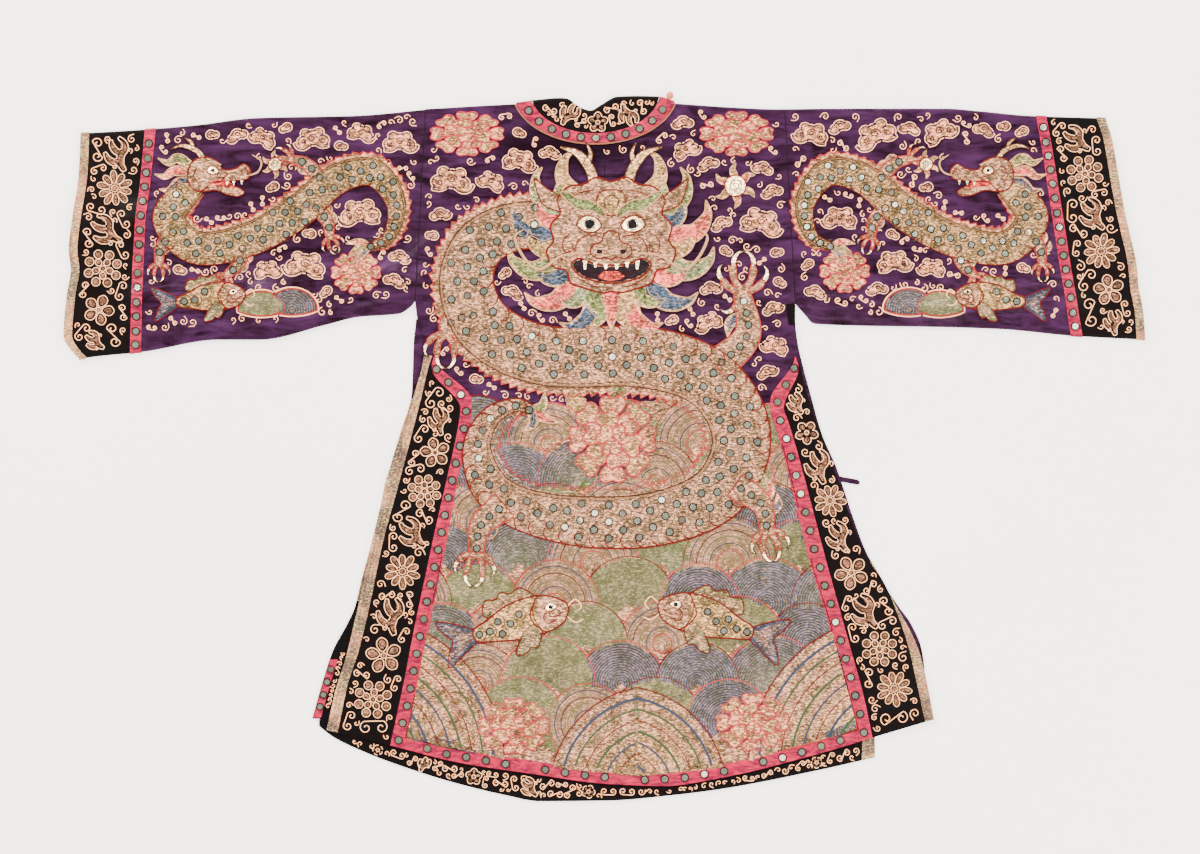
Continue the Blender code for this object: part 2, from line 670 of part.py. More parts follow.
def robe():
    looks = {
        "satin": paint("purple satin", (0.06, 0.022, 0.13), 0.4),
        "black": paint("black satin", (0.011, 0.009, 0.010), 0.5),
        "pink": paint("pink ribbon", (0.74, 0.055, 0.20), 0.6),
        "braid": paint("metal braid", (0.42, 0.32, 0.20), 0.4, 0.6),
        "cord": paint("pale cord", (0.62, 0.50, 0.36), 0.7),
    }
    backLeft = backPanel("left", looks["satin"])
    backRight = backPanel("right", looks["satin"])
    ribbonColumn = len(bodyColumns) - 1
    bandColumn = ribbonColumn + 1
    braidColumn = ribbonColumn + 3
    for side, grid, bandTop, ribbonTop in (("left", backLeft, bandTopLeft, ribbonTopLeft),
                                           ("right", backRight, bandTopRight, ribbonTopRight)):
        laidOn(f"side_ribbon_{side}", part(grid, 0, ribbonTop, ribbonColumn, bandColumn), looks["pink"])
        laidOn(f"side_band_{side}", part(grid, 0, bandTop, bandColumn, braidColumn), looks["black"])
        braidTop = ribbonTop if side == "left" else braidTopRight
        laidOn(f"side_braid_{side}", part(grid, 0, braidTop, braidColumn, braidColumn + 1), looks["braid"])
    across = [left[ribbonColumn::-1] + right[:ribbonColumn + 1]
              for left, right in zip(backLeft[:hemRibbonRows + 1], backRight[:hemRibbonRows + 1])]
    laidOn("hem_ribbon", across, looks["pink"])
    frontPanels(looks, backLeft, backRight)
    frontTurns(looks)
    for side in ("left", "right"):
        sleeve(side, looks)
    collar(looks)
    closing(looks, backRight)


for old in list(bpy.data.objects):
    bpy.data.objects.remove(old)
robe()
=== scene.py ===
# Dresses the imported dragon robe: fine cloth, couched embroidery, ribbons, braid and mirrors.
# Sizes are in millimetres in the robe's own layout and become metres when a mesh is made.
import random
from math import atan2, cos, hypot, pi, radians, sin

import bpy
import numpy as np
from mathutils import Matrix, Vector
from mathutils.geometry import delaunay_2d_cdt


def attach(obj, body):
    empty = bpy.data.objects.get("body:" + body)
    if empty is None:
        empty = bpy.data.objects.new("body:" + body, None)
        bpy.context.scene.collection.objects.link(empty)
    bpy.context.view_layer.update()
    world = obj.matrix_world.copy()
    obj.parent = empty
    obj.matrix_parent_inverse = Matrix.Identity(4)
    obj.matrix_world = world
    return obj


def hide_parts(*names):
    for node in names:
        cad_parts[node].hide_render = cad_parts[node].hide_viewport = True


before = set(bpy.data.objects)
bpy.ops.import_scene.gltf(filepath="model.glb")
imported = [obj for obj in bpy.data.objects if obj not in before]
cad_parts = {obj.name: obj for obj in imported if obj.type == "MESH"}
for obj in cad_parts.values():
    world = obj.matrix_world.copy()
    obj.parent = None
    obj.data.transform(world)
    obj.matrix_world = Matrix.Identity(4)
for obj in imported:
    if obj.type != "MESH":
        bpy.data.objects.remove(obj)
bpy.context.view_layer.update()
print("frame loaded,", len(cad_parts), "nodes")

layout = {"middleX": -0.1, "middleY": 1.0, "millimetre": 0.001}
# turn is how far a turned-up edge reaches back under itself, leastArea the least part of a cut that a
# piece shows
cloth = {"wall": 1.5, "trim": 0.9, "gap": 0.3, "bed": 3.6, "turn": 10.0, "step": 4.5,
         "ringStep": 1.0, "leastArea": 0.31}
clothTop = cloth["bed"] + cloth["wall"]
roll = clothTop / 2  # radius of the fold at shoulders and sleeve edges
seamGap = cloth["gap"] / 2  # each piece's share of the gap between two
onTrim = cloth["gap"] + cloth["trim"]  # height of a sewn-on border's face above the panel
turnedTop = 2 * cloth["wall"] + cloth["gap"]  # face of the front's turned-up edges
outwards = {"left": -1, "right": 1}  # the way along X that leads out of the robe
sides = tuple(outwards)
rng = random.Random(411)


# curves through rows of sizes

def mix(a, b, t):
    return a + (b - a) * t


def asPath(x, y):
    return np.stack([x, y], 1)


def roundAngles(count):
    return np.linspace(0, 2 * pi, count, endpoint=False)


def unit(angle):
    return np.array([cos(angle), sin(angle)])


def placeAt(x, y, reach, angle):
    return x + reach * cos(angle), y + reach * sin(angle)


def runAlong(path):
    # the distance along a path at each of its places
    return np.concatenate([[0], np.hypot(*np.diff(path, axis=0).T).cumsum()])


def curveOf(columns, *rows):
    # columns names what each row holds; the curve gives the second for the first, without overshoot
    keys = np.array([row[0] for row in rows], float)
    values = np.array([row[1] for row in rows], float)
    steps = np.diff(values) / np.diff(keys)
    both = steps[:-1] * steps[1:]
    sums = np.where(both > 0, steps[:-1] + steps[1:], 1.0)
    tangents = np.concatenate(([steps[0]], np.where(both > 0, 2 * both / sums, 0.0), [steps[-1]]))

    def value(at):
        at = np.asarray(at, float)
        low = np.clip(np.searchsorted(keys, at, side="right") - 1, 0, len(steps) - 1)
        span = keys[low + 1] - keys[low]
        past = (at - keys[low]) / span
        t = np.clip(past, 0.0, 1.0)
        inside = values[low] + (values[low + 1] - values[low]) * (3 * t ** 2 - 2 * t ** 3)
        inside += tangents[low] * span * (t - 2 * t ** 2 + t ** 3)
        inside += tangents[low + 1] * span * (t ** 3 - t ** 2)
        return inside + (past - t) * span * steps[low]

    return value


backEdge = {
    "left": curveOf("y x", (-424, -417), (-363, -403), (-319, -389), (-231, -368), (-169, -355),
        (-91, -336), (-49, -328), (5, -307), (77, -286), (143, -271), (161, -271), (194, -281),
        (220, -284)),
    "right": curveOf("y x", (-408, 494), (-342, 481), (-304, 471), (-265, 453), (-241, 439), (-196, 415),
        (-156, 392), (-100, 371), (-31, 348), (20, 326), (83, 308), (120, 298), (161, 289), (191, 286),
        (215, 286)),
}
frontEdge = {
    "left": curveOf("y x", (-409, -439), (-342, -420), (-304, -407), (-265, -386), (-241, -375),
        (-196, -364), (-156, -353), (-100, -339), (-31, -322), (20, -307), (83, -289), (161, -286),
        (191, -283), (220, -284)),
    "right": curveOf("y x", (-465, 406), (-430, 405), (-409, 451), (-372, 473), (-337, 480), (-304, 476),
        (-265, 460), (-237, 440), (-156, 389), (-31, 344), (120, 294), (161, 286), (215, 282)),
}
hemLine = curveOf("x y", (-417, -424), (-322, -447), (-217, -473), (-113, -489), (7, -505), (89, -508),
        (173, -496), (323, -459), (403, -435), (494, -408))
frontHemLine = curveOf("x y", (-439, -409), (-406, -435), (-353, -460), (-308, -477), (-233, -501),
        (-148, -522), (-97, -531), (7, -530), (92, -523), (173, -513), (323, -484), (406, -465))
shoulderLine = curveOf("x y", (-272, 507), (-149, 514), (-100, 516), (-62, 512), (-20, 499), (20, 513),
        (60, 518), (113, 515), (187, 510), (256, 507), (280, 507))
centreSeam = curveOf("y x", (-508, 50), (-290, 44), (-169, 37), (71, 29), (221, 11), (446, -1), (520, -3))
armhole = {"left": curveOf("y x", (218, -284), (508, -268)), "right": curveOf("y x", (213, 286), (508, 270))}
armpitY = {"left": 218, "right": 213}
ribbonInner = {
    "left": curveOf("y x", (-440, -297), (-414, -290), (-306, -269), (-210, -250), (-138, -236),
        (-49, -220), (58, -199), (70, -199), (134, -254), (220, -200), (520, -190)),
    "right": curveOf("y x", (-440, 382), (-364, 362), (-259, 334), (-163, 305), (-63, 281), (21, 259),
        (58, 248), (68, 248), (137, 285), (215, 215), (520, 205)),
}
ribbonOuter = {
    "left": curveOf("y x", (-440, -320), (-352, -301), (-269, -285), (-194, -269), (-119, -253),
        (-49, -237), (48, -217), (58, -216), (119, -259), (220, -216), (520, -205)),
    "right": curveOf("y x", (-440, 403), (-370, 388), (-305, 370), (-233, 350), (-157, 329), (-88, 311),
        (-20, 293), (41, 275), (58, 269), (119, 291), (215, 231), (520, 220)),
}
braidInner = {
    "left": curveOf("y x", (-424, -399), (-357, -385), (-304, -368), (-242, -353), (-138, -331),
        (-65, -311), (77, -274), (119, -264), (220, -232), (520, -222)),
    "right": curveOf("y x", (-440, 490), (-408, 480), (-354, 468), (-297, 455), (-245, 437), (-205, 420),
        (-172, 398), (-100, 367), (-31, 344), (83, 303), (119, 294), (215, 252), (520, 240)),
}
sleeveTop = {
    "left": curveOf("x y", (-800, 470), (-697, 476), (-613, 483), (-520, 494), (-377, 497), (-262, 507)),
    "right": curveOf("x y", (272, 507), (358, 508), (511, 508), (563, 504), (640, 497), (760, 493)),
}
sleeveBottom = {
    "left": curveOf("x y", (-811, 124), (-776, 134), (-691, 143), (-578, 161), (-517, 161), (-419, 183),
        (-370, 195), (-308, 200), (-290, 211), (-284, 219)),
    "right": curveOf("x y", (286, 215), (300, 199), (314, 185), (385, 182), (503, 180), (593, 177),
        (700, 167), (811, 161)),
}
cuffEnd = {
    "left": curveOf("y x", (124, -776), (146, -800), (167, -811), (228, -806), (267, -800), (294, -803),
        (348, -797), (410, -788), (476, -785)),
    "right": curveOf("y x", (155, 811), (200, 808), (239, 801), (270, 798), (321, 787), (375, 776),
        (428, 767), (461, 761), (498, 749)),
}
cuffSeam = {
    "left": curveOf("y x", (134, -712), (266, -708), (341, -703), (401, -696), (480, -689)),
    "right": curveOf("y x", (160, 718), (266, 700), (341, 688), (431, 674), (500, 662)),
}
cuffRibbon = {
    "left": curveOf("y x", (134, -695), (266, -691), (341, -687), (401, -680), (480, -672)),
    "right": curveOf("y x", (160, 700), (266, 683), (341, 671), (431, 658), (500, 646)),
}
closingLine = curveOf("x y", (-5, 436), (60, 380), (150, 290), (230, 235), (300, 208))
hemPull = curveOf("y part", (-320, 1), (-285, 0.9), (-245, 0.75), (-205, 0.55), (-165, 0.35), (-125, 0.2),
        (-85, 0.1), (-45, 0))
collarTop = curveOf("x y", (-150, 516), (-135, 517), (-103, 521), (-67, 524), (-55, 523), (-44, 515),
        (-32, 508), (-20, 505), (-11, 510), (0, 517), (10, 523), (18, 526), (50, 527), (84, 526),
        (106, 519), (125, 515))
border = {"hemRow": -420, "hemFree": -45, "ribbonRow": -400, "bandTop": 122, "ribbonTop": 137,
          "shoulderRow": 430, "shoulderRise": 90, "cuffBraid": 13}
braidTop = {"left": border["ribbonTop"], "right": -165}
braidLength = {"left": 580, "right": 260}
collarArc = {"x": -14, "y": 533, "outerX": 122, "outerY": 77, "innerX": 97, "innerY": 62,
             "middleX": 109.5, "middleY": 69.5}

# Folds of the solids first, then finer creases: from one place to another, height and half width.
folds = (
    (-690, 222, -470, 240, 5, 34), (-500, 236, -300, 262, 6, 40), (-380, 205, -262, 300, 4, 34),
    (-700, 345, -560, 330, 4, 40), (-810, 330, -640, 345, 3, 44), (-330, 320, -262, 400, 3, 44),
    (300, 214, 520, 205, 5, 36), (480, 215, 690, 232, 6, 40), (300, 225, 262, 330, 4, 36),
    (640, 330, 790, 300, 4, 44), (520, 380, 660, 360, 3, 44), (-150, 120, -60, 240, 4, 48),
    (150, 150, 230, 260, 4, 46), (-90, -170, 60, -140, 3, 50), (190, -210, 300, -165, 5, 42),
    (-230, -330, -120, -300, 3, 46), (60, -380, 110, -300, 3, 46),
)
creases = (
    (-660, 176, -560, 182, 1.6, 10), (-600, 190, -470, 186, -1.2, 9), (-520, 178, -400, 205, 1.8, 11),
    (-450, 200, -330, 214, -1.3, 9), (-400, 214, -300, 226, 1.8, 10), (-350, 210, -292, 216, 1.5, 9),
    (-330, 236, -262, 272, -1.4, 10), (-310, 262, -240, 330, 1.3, 10), (-290, 240, -215, 262, 1.4, 10),
    (-285, 200, -225, 236, 1.3, 9), (-280, 182, -240, 172, 1.1, 8), (-760, 352, -690, 346, -1.6, 11),
    (-800, 300, -730, 318, 1.5, 11), (-790, 230, -740, 262, 1.2, 10), (-690, 300, -620, 290, 1.0, 9),
    (320, 196, 430, 194, 1.7, 10), (400, 204, 520, 192, -1.3, 9), (480, 196, 600, 190, 1.6, 10),
    (560, 204, 700, 186, -1.2, 9), (330, 216, 420, 240, 1.4, 10), (300, 214, 330, 280, 1.5, 10),
    (296, 236, 350, 330, -1.2, 10), (282, 236, 236, 300, 1.4, 10), (282, 220, 225, 236, 1.3, 9),
    (286, 196, 240, 180, 1.1, 8), (700, 350, 780, 380, 1.5, 11), (705, 290, 790, 276, -1.4, 10),
    (700, 210, 800, 214, 1.3, 10), (-120, 476, -60, 444, -1.5, 12), (-90, 455, -10, 440, 1.6, 12),
    (-60, 446, 40, 448, -1.4, 11), (20, 452, 90, 470, 1.2, 11), (-130, 400, -40, 418, 1.0, 11),
    (-230, 300, -170, 330, 1.1, 10), (-210, 200, -160, 250, -1.0, 10), (170, 330, 240, 380, 1.1, 10),
    (190, 150, 262, 170, 1.2, 10), (-160, -100, -60, -120, 1.0, 12), (200, -120, 290, -60, 1.2, 12),
    (150, -300, 240, -260, -1.0, 12), (-240, -240, -170, -210, 1.1, 11), (-180, -420, -150, -340, 0.9, 11),
    (300, -330, 330, -240, 1.0, 11), (350, -250, 420, -200, 1.6, 12), (400, -330, 440, -260, -1.2, 11),
    (-380, -320, -330, -300, 1.2, 11), (-360, -180, -310, -150, 1.0, 10), (-330, -60, -280, -20, 1.0, 10),
    (-520, 440, -440, 420, 1.0, 10), (-640, 430, -560, 450, -0.9, 10), (430, 440, 520, 452, 1.0, 10),
    (560, 430, 640, 416, 0.9, 10),
)
ripples = (
    # waves along x and along y, phase, height
    (0.16, 0.05, 0.4, 0.16), (-0.07, 0.14, 2.1, 0.15), (0.11, 0.21, 4.0, 0.12), (0.26, -0.09, 1.2, 0.10),
    (-0.19, -0.24, 5.3, 0.08), (0.33, 0.17, 0.7, 0.06),
)
deepest = 0.5  # how far a fine crease may sink below where the cloth lies plain
fading = {"edge": 3, "folds": 22, "creases": 9, "shoulder": 10, "collarX": 130, "collarY": 86}


def ridges(x, y, rows):
    total = np.zeros(np.shape(x))
    for x1, y1, x2, y2, height, width in rows:
        dx, dy = x2 - x1, y2 - y1
        length = hypot(dx, dy)
        along = ((x - x1) * dx + (y - y1) * dy) / length
        across = ((x - x1) * dy - (y - y1) * dx) / length
        past = np.maximum(0.0, np.maximum(-along, along - length))
        away = np.minimum(np.hypot(across, past) / width, 1.0)
        total += height * np.cos(pi / 2 * away) ** 2
    return total


def edgeRoom(x, y):
    # how far a place lies from the sleeves' folded edges, growing towards the middle of the body
    rooms = []
    for side, away in outwards.items():
        hole = armhole[side](np.maximum(y, armpitY[side]))
        inward = (hole - x) * away
        at = np.where(inward > 0, hole, x)
        above = np.maximum(y - sleeveBottom[side](at), -20)
        below = sleeveTop[side](at) - y
        rooms.append(np.minimum(above, below) + np.maximum(inward, 0))
    return np.minimum(*rooms)


def clothHeight(x, y):
    x, y = np.asarray(x, float), np.asarray(y, float)
    room = edgeRoom(x, y)
    fade = np.clip((room - fading["edge"]) / fading["folds"], 0.0, 1.0)
    shoulderRoom = np.where(np.abs(x) < 275, shoulderLine(x) - roll - y, 30.0)
    collarAway = np.hypot((x - collarArc["x"]) / fading["collarX"], (y - collarArc["y"]) / fading["collarY"])
    fineFade = np.clip((room - fading["edge"]) / fading["creases"], 0, 1)
    fineFade = fineFade * np.clip(shoulderRoom / fading["shoulder"], 0, 1)
    fineFade = fineFade * np.clip(collarAway * 8 - 8, 0, 1)
    fine = ridges(x, y, creases)
    fine = fine + sum(height * np.sin(kx * x + ky * y + phase) for kx, ky, phase, height in ripples)
    fine = np.where(fine < 0, -deepest * (1 - np.exp(np.minimum(fine, 0) / deepest)), fine)
    return clothTop + ridges(x, y, folds) * fade + fine * fineFade


# meshes

def toMetres(points):
    shift = np.array([layout["middleX"], layout["middleY"], 0.0])
    return (np.asarray(points, float) - shift) * layout["millimetre"]


def makePiece(name, points, faces, look, slotName, **values):
    # values are kept on the mesh for its material: a number or a colour for each point
    mesh = bpy.data.meshes.new(name)
    mesh.from_pydata(toMetres(points).tolist(), [], faces)
    for key, data in values.items():
        if data.ndim == 2:
            kept, field = mesh.color_attributes.new(key, "FLOAT_COLOR", "POINT"), "color"
        else:
            kept, field = mesh.attributes.new(key, "FLOAT", "POINT"), "value"
        kept.data.foreach_set(field, np.ascontiguousarray(data, np.float32).ravel())
    mesh.validate()
    mesh.materials.append(looks[look])
    mesh.shade_smooth()
    mesh.set_sharp_from_angle(angle=radians(50))
    piece = bpy.data.objects.new(name, mesh)
    bpy.context.collection.objects.link(piece)
    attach(piece, "root")
    return piece


def gridFaces(rows, columns, ring=False):
    spans = columns if ring else columns - 1
    i, j = [part.ravel() for part in np.meshgrid(np.arange(rows - 1), np.arange(spans), indexing="ij")]
    after = (j + 1) % columns
    low, high = i * columns, (i + 1) * columns
    return np.stack([low + j, low + after, high + after, high + j], 1)


def closedSheet(outer, inner, ring=False):
    # outer and inner are (rows, columns, 3) grids of the two faces of a cloth
    rows, columns = outer.shape[:2]
    half = rows * columns
    top = gridFaces(rows, columns, ring)
    faces = [top, top[:, ::-1] + half]
    j = np.arange(columns if ring else columns - 1)
    after = (j + 1) % columns
    faces.append(np.stack([after, j, j + half, after + half], 1))
    last = (rows - 1) * columns
    faces.append(np.stack([last + j, last + after, last + after + half, last + j + half], 1))
    if not ring:
        i = np.arange(rows - 1) * columns
        faces.append(np.stack([i, i + columns, i + columns + half, i + half], 1))
        i = i + columns - 1
        faces.append(np.stack([i + columns, i, i + half, i + columns + half], 1))
    points = np.concatenate([outer.reshape(-1, 3), inner.reshape(-1, 3)])
    faces = np.concatenate(faces)
    a, b, c, d = (points[faces[:, k]] for k in range(4))
    volume = (a * np.cross(b, c)).sum() + (a * np.cross(c, d)).sum()
    return points, (faces if volume >= 0 else faces[:, ::-1]).tolist()


def stack(x, y, z):
    return np.stack([x, y, z + np.zeros(np.shape(x))], axis=-1)


def rolled(x, y, radius, degrees, way=1):
    # the places of an edge carried round its fold; way is the side that the edge faces along Y
    angle = radians(degrees)
    return stack(x, y + way * radius * cos(angle), roll + radius * sin(angle))


def gridArea(outer):
    a, b, c, d = outer[:-1, :-1], outer[:-1, 1:], outer[1:, 1:], outer[1:, :-1]
    parts = np.linalg.norm(np.cross(b - a, c - a), axis=-1) + np.linalg.norm(np.cross(c - a, d - a), axis=-1)
    return float(parts.sum()) / 2


def clothPiece(node, outer, inner, slotName, cut, suffix="silk", ring=False):
    # one closed cloth in its solid's place; cut is the width and length that it was cut to
    points, faces = closedSheet(outer, inner, ring)
    along = np.linalg.norm(np.diff(outer, axis=0, prepend=outer[:1]), axis=-1).cumsum(0)
    across = np.linalg.norm(np.diff(outer, axis=1, prepend=outer[:, :1]), axis=-1).cumsum(1)
    piece = makePiece(f"{node}_{suffix}", points, faces, slotName, slotName,
                      run=np.tile(along.ravel(), 2), width=np.tile(across.ravel(), 2))
    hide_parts(node)
    shown = gridArea(outer)
    if ring:
        shown += float(np.linalg.norm(outer[1:, 0] - outer[:-1, 0], axis=-1).sum()) * cloth["ringStep"]
    width, length = cut


# materials

class Nodes:
    # makes the nodes of one material or group; a value given to one is a number, a colour or an output
    def __init__(self, tree):
        self.tree = tree

    def link(self, source, socket):
        if hasattr(source, "is_output"):
            self.tree.links.new(source, socket)
        else:
            socket.default_value = source

    def new(self, kind, output, given=(), **settings):
        made = self.tree.nodes.new("ShaderNode" + kind)
        for key, value in settings.items():
            setattr(made, key, value)
        for key, value in given.items() if isinstance(given, dict) else enumerate(given):
            self.link(value, made.inputs[key])
        return made.outputs[output]

    def plus(self, a, b):
        return self.new("Math", 0, (a, b), operation="ADD")

    def minus(self, a, b):
        return self.new("Math", 0, (a, b), operation="SUBTRACT")

    def times(self, a, b):
        return self.new("Math", 0, (a, b), operation="MULTIPLY")

    def mixed(self, amount, a, b, kind="MIX"):
        return self.new("Mix", 2, {0: amount, 6: a, 7: b}, data_type="RGBA", blend_type=kind)

    def tinted(self, amount, a, b):
        return self.mixed(amount, a, b, "MULTIPLY")

    def remap(self, value, low, high, newLow=0.0, newHigh=1.0):
        return self.new("MapRange", 0, (value, low, high, newLow, newHigh))

    def noise(self, place, scale, detail=2.0, roughness=0.5, bend=0.0):
        return self.new("TexNoise", 0, {"Vector": place, "Scale": scale, "Detail": detail,
                                        "Roughness": roughness, "Distortion": bend})

    def place(self):
        return self.new("TexCoord", "Object")

    def stretched(self, place, x, y, z=1.0):
        return self.new("Mapping", 0, {"Vector": place, "Scale": (x, y, z)})

    def attribute(self, name, output="Fac"):
        return self.new("Attribute", output, attribute_name=name)

    def group(self, name, **values):
        made = self.tree.nodes.new("ShaderNodeGroup")
        made.node_tree = groups[name]
        for key, value in values.items():
            self.link(value, made.inputs[key])
        return made.outputs

    def bump(self, inputs, height, distance):
        given = {"Strength": 1.0, "Distance": distance, "Height": height}
        self.link(self.new("Bump", 0, given), inputs["Normal"])

    def patch(self, x, y, wide, high):
        # 1 at one place of the cloth, falling to 0 at the rim of an ellipse round it; sizes in metres
        moved = self.new("Mapping", 0, {"Vector": self.place(), "Location": (-x / wide, -y / high, 0),
                                        "Scale": (1 / wide, 1 / high, 0)})
        return self.new("TexGradient", "Fac", {"Vector": moved}, gradient_type="SPHERICAL")


def newGroup(name, inputs, outputs):
    group = bpy.data.node_groups.new(name, "ShaderNodeTree")
    for socketName, value in inputs.items():
        socket = group.interface.new_socket(socketName, in_out="INPUT", socket_type="NodeSocketFloat")
        socket.default_value = value
    for socketName in outputs:
        group.interface.new_socket(socketName, in_out="OUTPUT", socket_type="NodeSocketFloat")
    return Nodes(group), group.nodes.new("NodeGroupInput").outputs, group.nodes.new("NodeGroupOutput").inputs


def silkGroup():
    # fine crinkles in painted shade, streaks of uneven warp threads, and a painted sheen of broad soft light
    # over the folds of laid silk
    n, given, out = newGroup("silkCrinkle", {"Crinkle": 42.0, "Streak": 240.0}, ("Shade", "PaintedSheen", "Height"))
    place = n.place()
    soft = n.noise(n.stretched(place, 0.5, 1.5), given["Crinkle"], 3.0, 0.55, 0.7)
    drawn = n.noise(n.stretched(place, 1.0, 0.12), given["Streak"], 2.0, 0.6)
    weave = n.noise(place, 1700.0, 0.0)
    paintedSheen = n.noise(n.stretched(place, 0.42, 1.8), 24.0, 3.0, 0.62, 0.9)
    n.link(n.remap(paintedSheen, 0.47, 0.66), out["PaintedSheen"])
    n.link(n.plus(n.times(soft, 0.88), n.times(drawn, 0.12)), out["Shade"])
    n.link(n.plus(n.plus(soft, n.times(drawn, 0.16)), n.times(weave, 0.05)), out["Height"])
    return n.tree


def rowsGroup():
    # threads laid side by side: Run is the distance across them, in millimetres
    n, given, out = newGroup("threadRows", {"Run": 0.0, "Pitch": 2.0, "Waver": 0.5}, ("Shade", "Height"))
    # Shade is painted shade in the grooves between the threads, down to 0.45 between rows
    wander = n.times(n.noise(n.place(), 70.0, 1.0), given["Waver"])
    turns = n.new("Math", 0, (n.plus(given["Run"], wander), given["Pitch"]), operation="DIVIDE")
    part = n.minus(n.times(n.new("Math", 0, (turns,), operation="FRACT"), 2.0), 1.0)
    crown = n.minus(1.0, n.times(part, part))
    n.link(crown, out["Height"])
    n.link(n.remap(crown, 0.0, 0.7, 0.45, 1.0), out["Shade"])
    return n.tree


def tinselGroup():
    # metal thread with painted glints of light in specks and patches; it shows its dark core in others
    n, given, out = newGroup("tinsel", {"Speck": 290.0, "Patch": 62.0}, ("Glint", "Worn", "Foil", "Height"))
    place = n.place()
    speck = n.noise(n.stretched(place, 0.62, 1.45), given["Speck"], 2.0, 0.75)
    patch = n.noise(place, given["Patch"], 3.0, 0.65)
    other = n.noise(n.stretched(place, 0.72, 1.3, 1.2), given["Speck"], 2.0, 0.7)
    lean = n.times(n.minus(patch, 0.5), 0.34)
    n.link(n.remap(n.plus(speck, lean), 0.49, 0.64), out["Glint"])
    n.link(n.remap(n.plus(other, lean), 0.53, 0.38), out["Worn"])
    n.link(n.remap(patch, 0.42, 0.62), out["Foil"])
    n.link(n.plus(speck, patch), out["Height"])
    return n.tree


groups = {"silk": silkGroup(), "rows": rowsGroup(), "tinsel": tinselGroup()}


def screen(*tones):
    # the base colour that shows as these tones, 0 to 255, under the lamps at the end; the view's curve is
    # soft, so they are spread a little first
    middle, spread = sum(tones) / 3, 1.04
    shown = [min(max((middle + spread * (tone - middle) - 35) / 220, 0.003), 0.9) for tone in tones]
    return (*(0.068 * t ** 0.885 / (1 - t) ** 1.41 for t in shown), 1.0)


def startLook(name, **fixed):
    look = bpy.data.materials.new(name)
    look.use_nodes = True
    inputs = look.node_tree.nodes["Principled BSDF"].inputs
    for key, value in fixed.items():
        inputs[key.replace("_", " ")].default_value = value
    return look, Nodes(look.node_tree), inputs


def silkLook(name, deep, lit, roughness, shine, bumpSize, metal=0.0, paintedSheen=0.0, darkPatch=None):
    # laid silk; darkPatch is a place on it, below the collar, whose colour is darkened towards brown
    look, n, inputs = startLook(name, Sheen_Roughness=0.35, Sheen_Tint=lit, Specular_IOR_Level=shine,
                                Metallic=metal)
    silk = n.group("silk")
    # the crinkles' painted shade and the warp streaks mix the deep and lit tones
    colour = n.mixed(n.remap(silk["Shade"], 0.34, 0.68), deep, lit)
    # gleam is a painted sheen: a lighter copy of the lit tone, laid over the broad folds where paintedSheen
    # is high
    gleam = n.tinted(1.0, lit, (1.5, 1.5, 1.7, 1.0))
    colour = n.mixed(n.times(silk["PaintedSheen"], paintedSheen), colour, gleam)
    if darkPatch:
        mask = n.remap(n.patch(*darkPatch), 0.0, 0.45, 0.0, 0.8)
        colour = n.mixed(mask, colour, n.tinted(1.0, deep, (0.62, 0.62, 0.5, 1.0)))
    n.link(colour, inputs["Base Color"])
    n.link(n.remap(silk["Shade"], 0.3, 0.7, roughness + 0.08, roughness - 0.06), inputs["Roughness"])
    n.bump(inputs, silk["Height"], bumpSize)
    return look


def ribbonLook(name, deep, lit):
    # a narrow satin ribbon: cross ribs and small puckers where it is sewn down
    look, n, inputs = startLook(name, Sheen_Weight=0.08, Sheen_Roughness=0.4, Specular_IOR_Level=0.25,
                                Roughness=0.46)
    silk = n.group("silk", Crinkle=130.0, Streak=420.0)
    ribs = n.group("rows", Run=n.attribute("run"), Pitch=1.1, Waver=0.2)
    colour = n.mixed(n.remap(silk["Shade"], 0.36, 0.66), deep, lit)
    # painted shade of the crinkles and of the grooves between the ribs
    n.link(n.tinted(0.25, colour, ribs["Shade"]), inputs["Base Color"])
    n.bump(inputs, n.plus(silk["Height"], n.times(ribs["Height"], 0.06)), 0.0016)
    return look


def braidLook(name):
    # woven metal strip: chevrons over a ground with painted shine and painted glints in places, worn in
    # others
    look, n, inputs = startLook(name, Metallic=0.2)
    fold = n.new("Math", 0, (n.attribute("width"), 3.2), operation="PINGPONG")
    chevrons = n.group("rows", Run=n.plus(n.attribute("run"), fold), Pitch=2.6, Waver=0.3)
    tinsel = n.group("tinsel", Speck=330.0, Patch=26.0)
    paintedShine = n.remap(n.noise(n.place(), 17.0, 2.0, 0.6), 0.43, 0.58)
    # paintedShine: lighter patches of painted shine where the braid would catch the light
    base = n.mixed(paintedShine, screen(172, 140, 118), screen(218, 188, 162))
    base = n.mixed(n.times(tinsel["Worn"], 0.5), base, screen(106, 84, 70))
    base = n.mixed(n.times(tinsel["Glint"], 0.55), base, screen(246, 228, 204))
    # painted shade in the grooves of the chevrons
    n.link(n.tinted(0.55, base, chevrons["Shade"]), inputs["Base Color"])
    n.link(n.remap(tinsel["Worn"], 0.0, 1.0, 0.34, 0.6), inputs["Roughness"])
    n.bump(inputs, n.plus(chevrons["Height"], tinsel["Height"]), 0.0006)
    return look


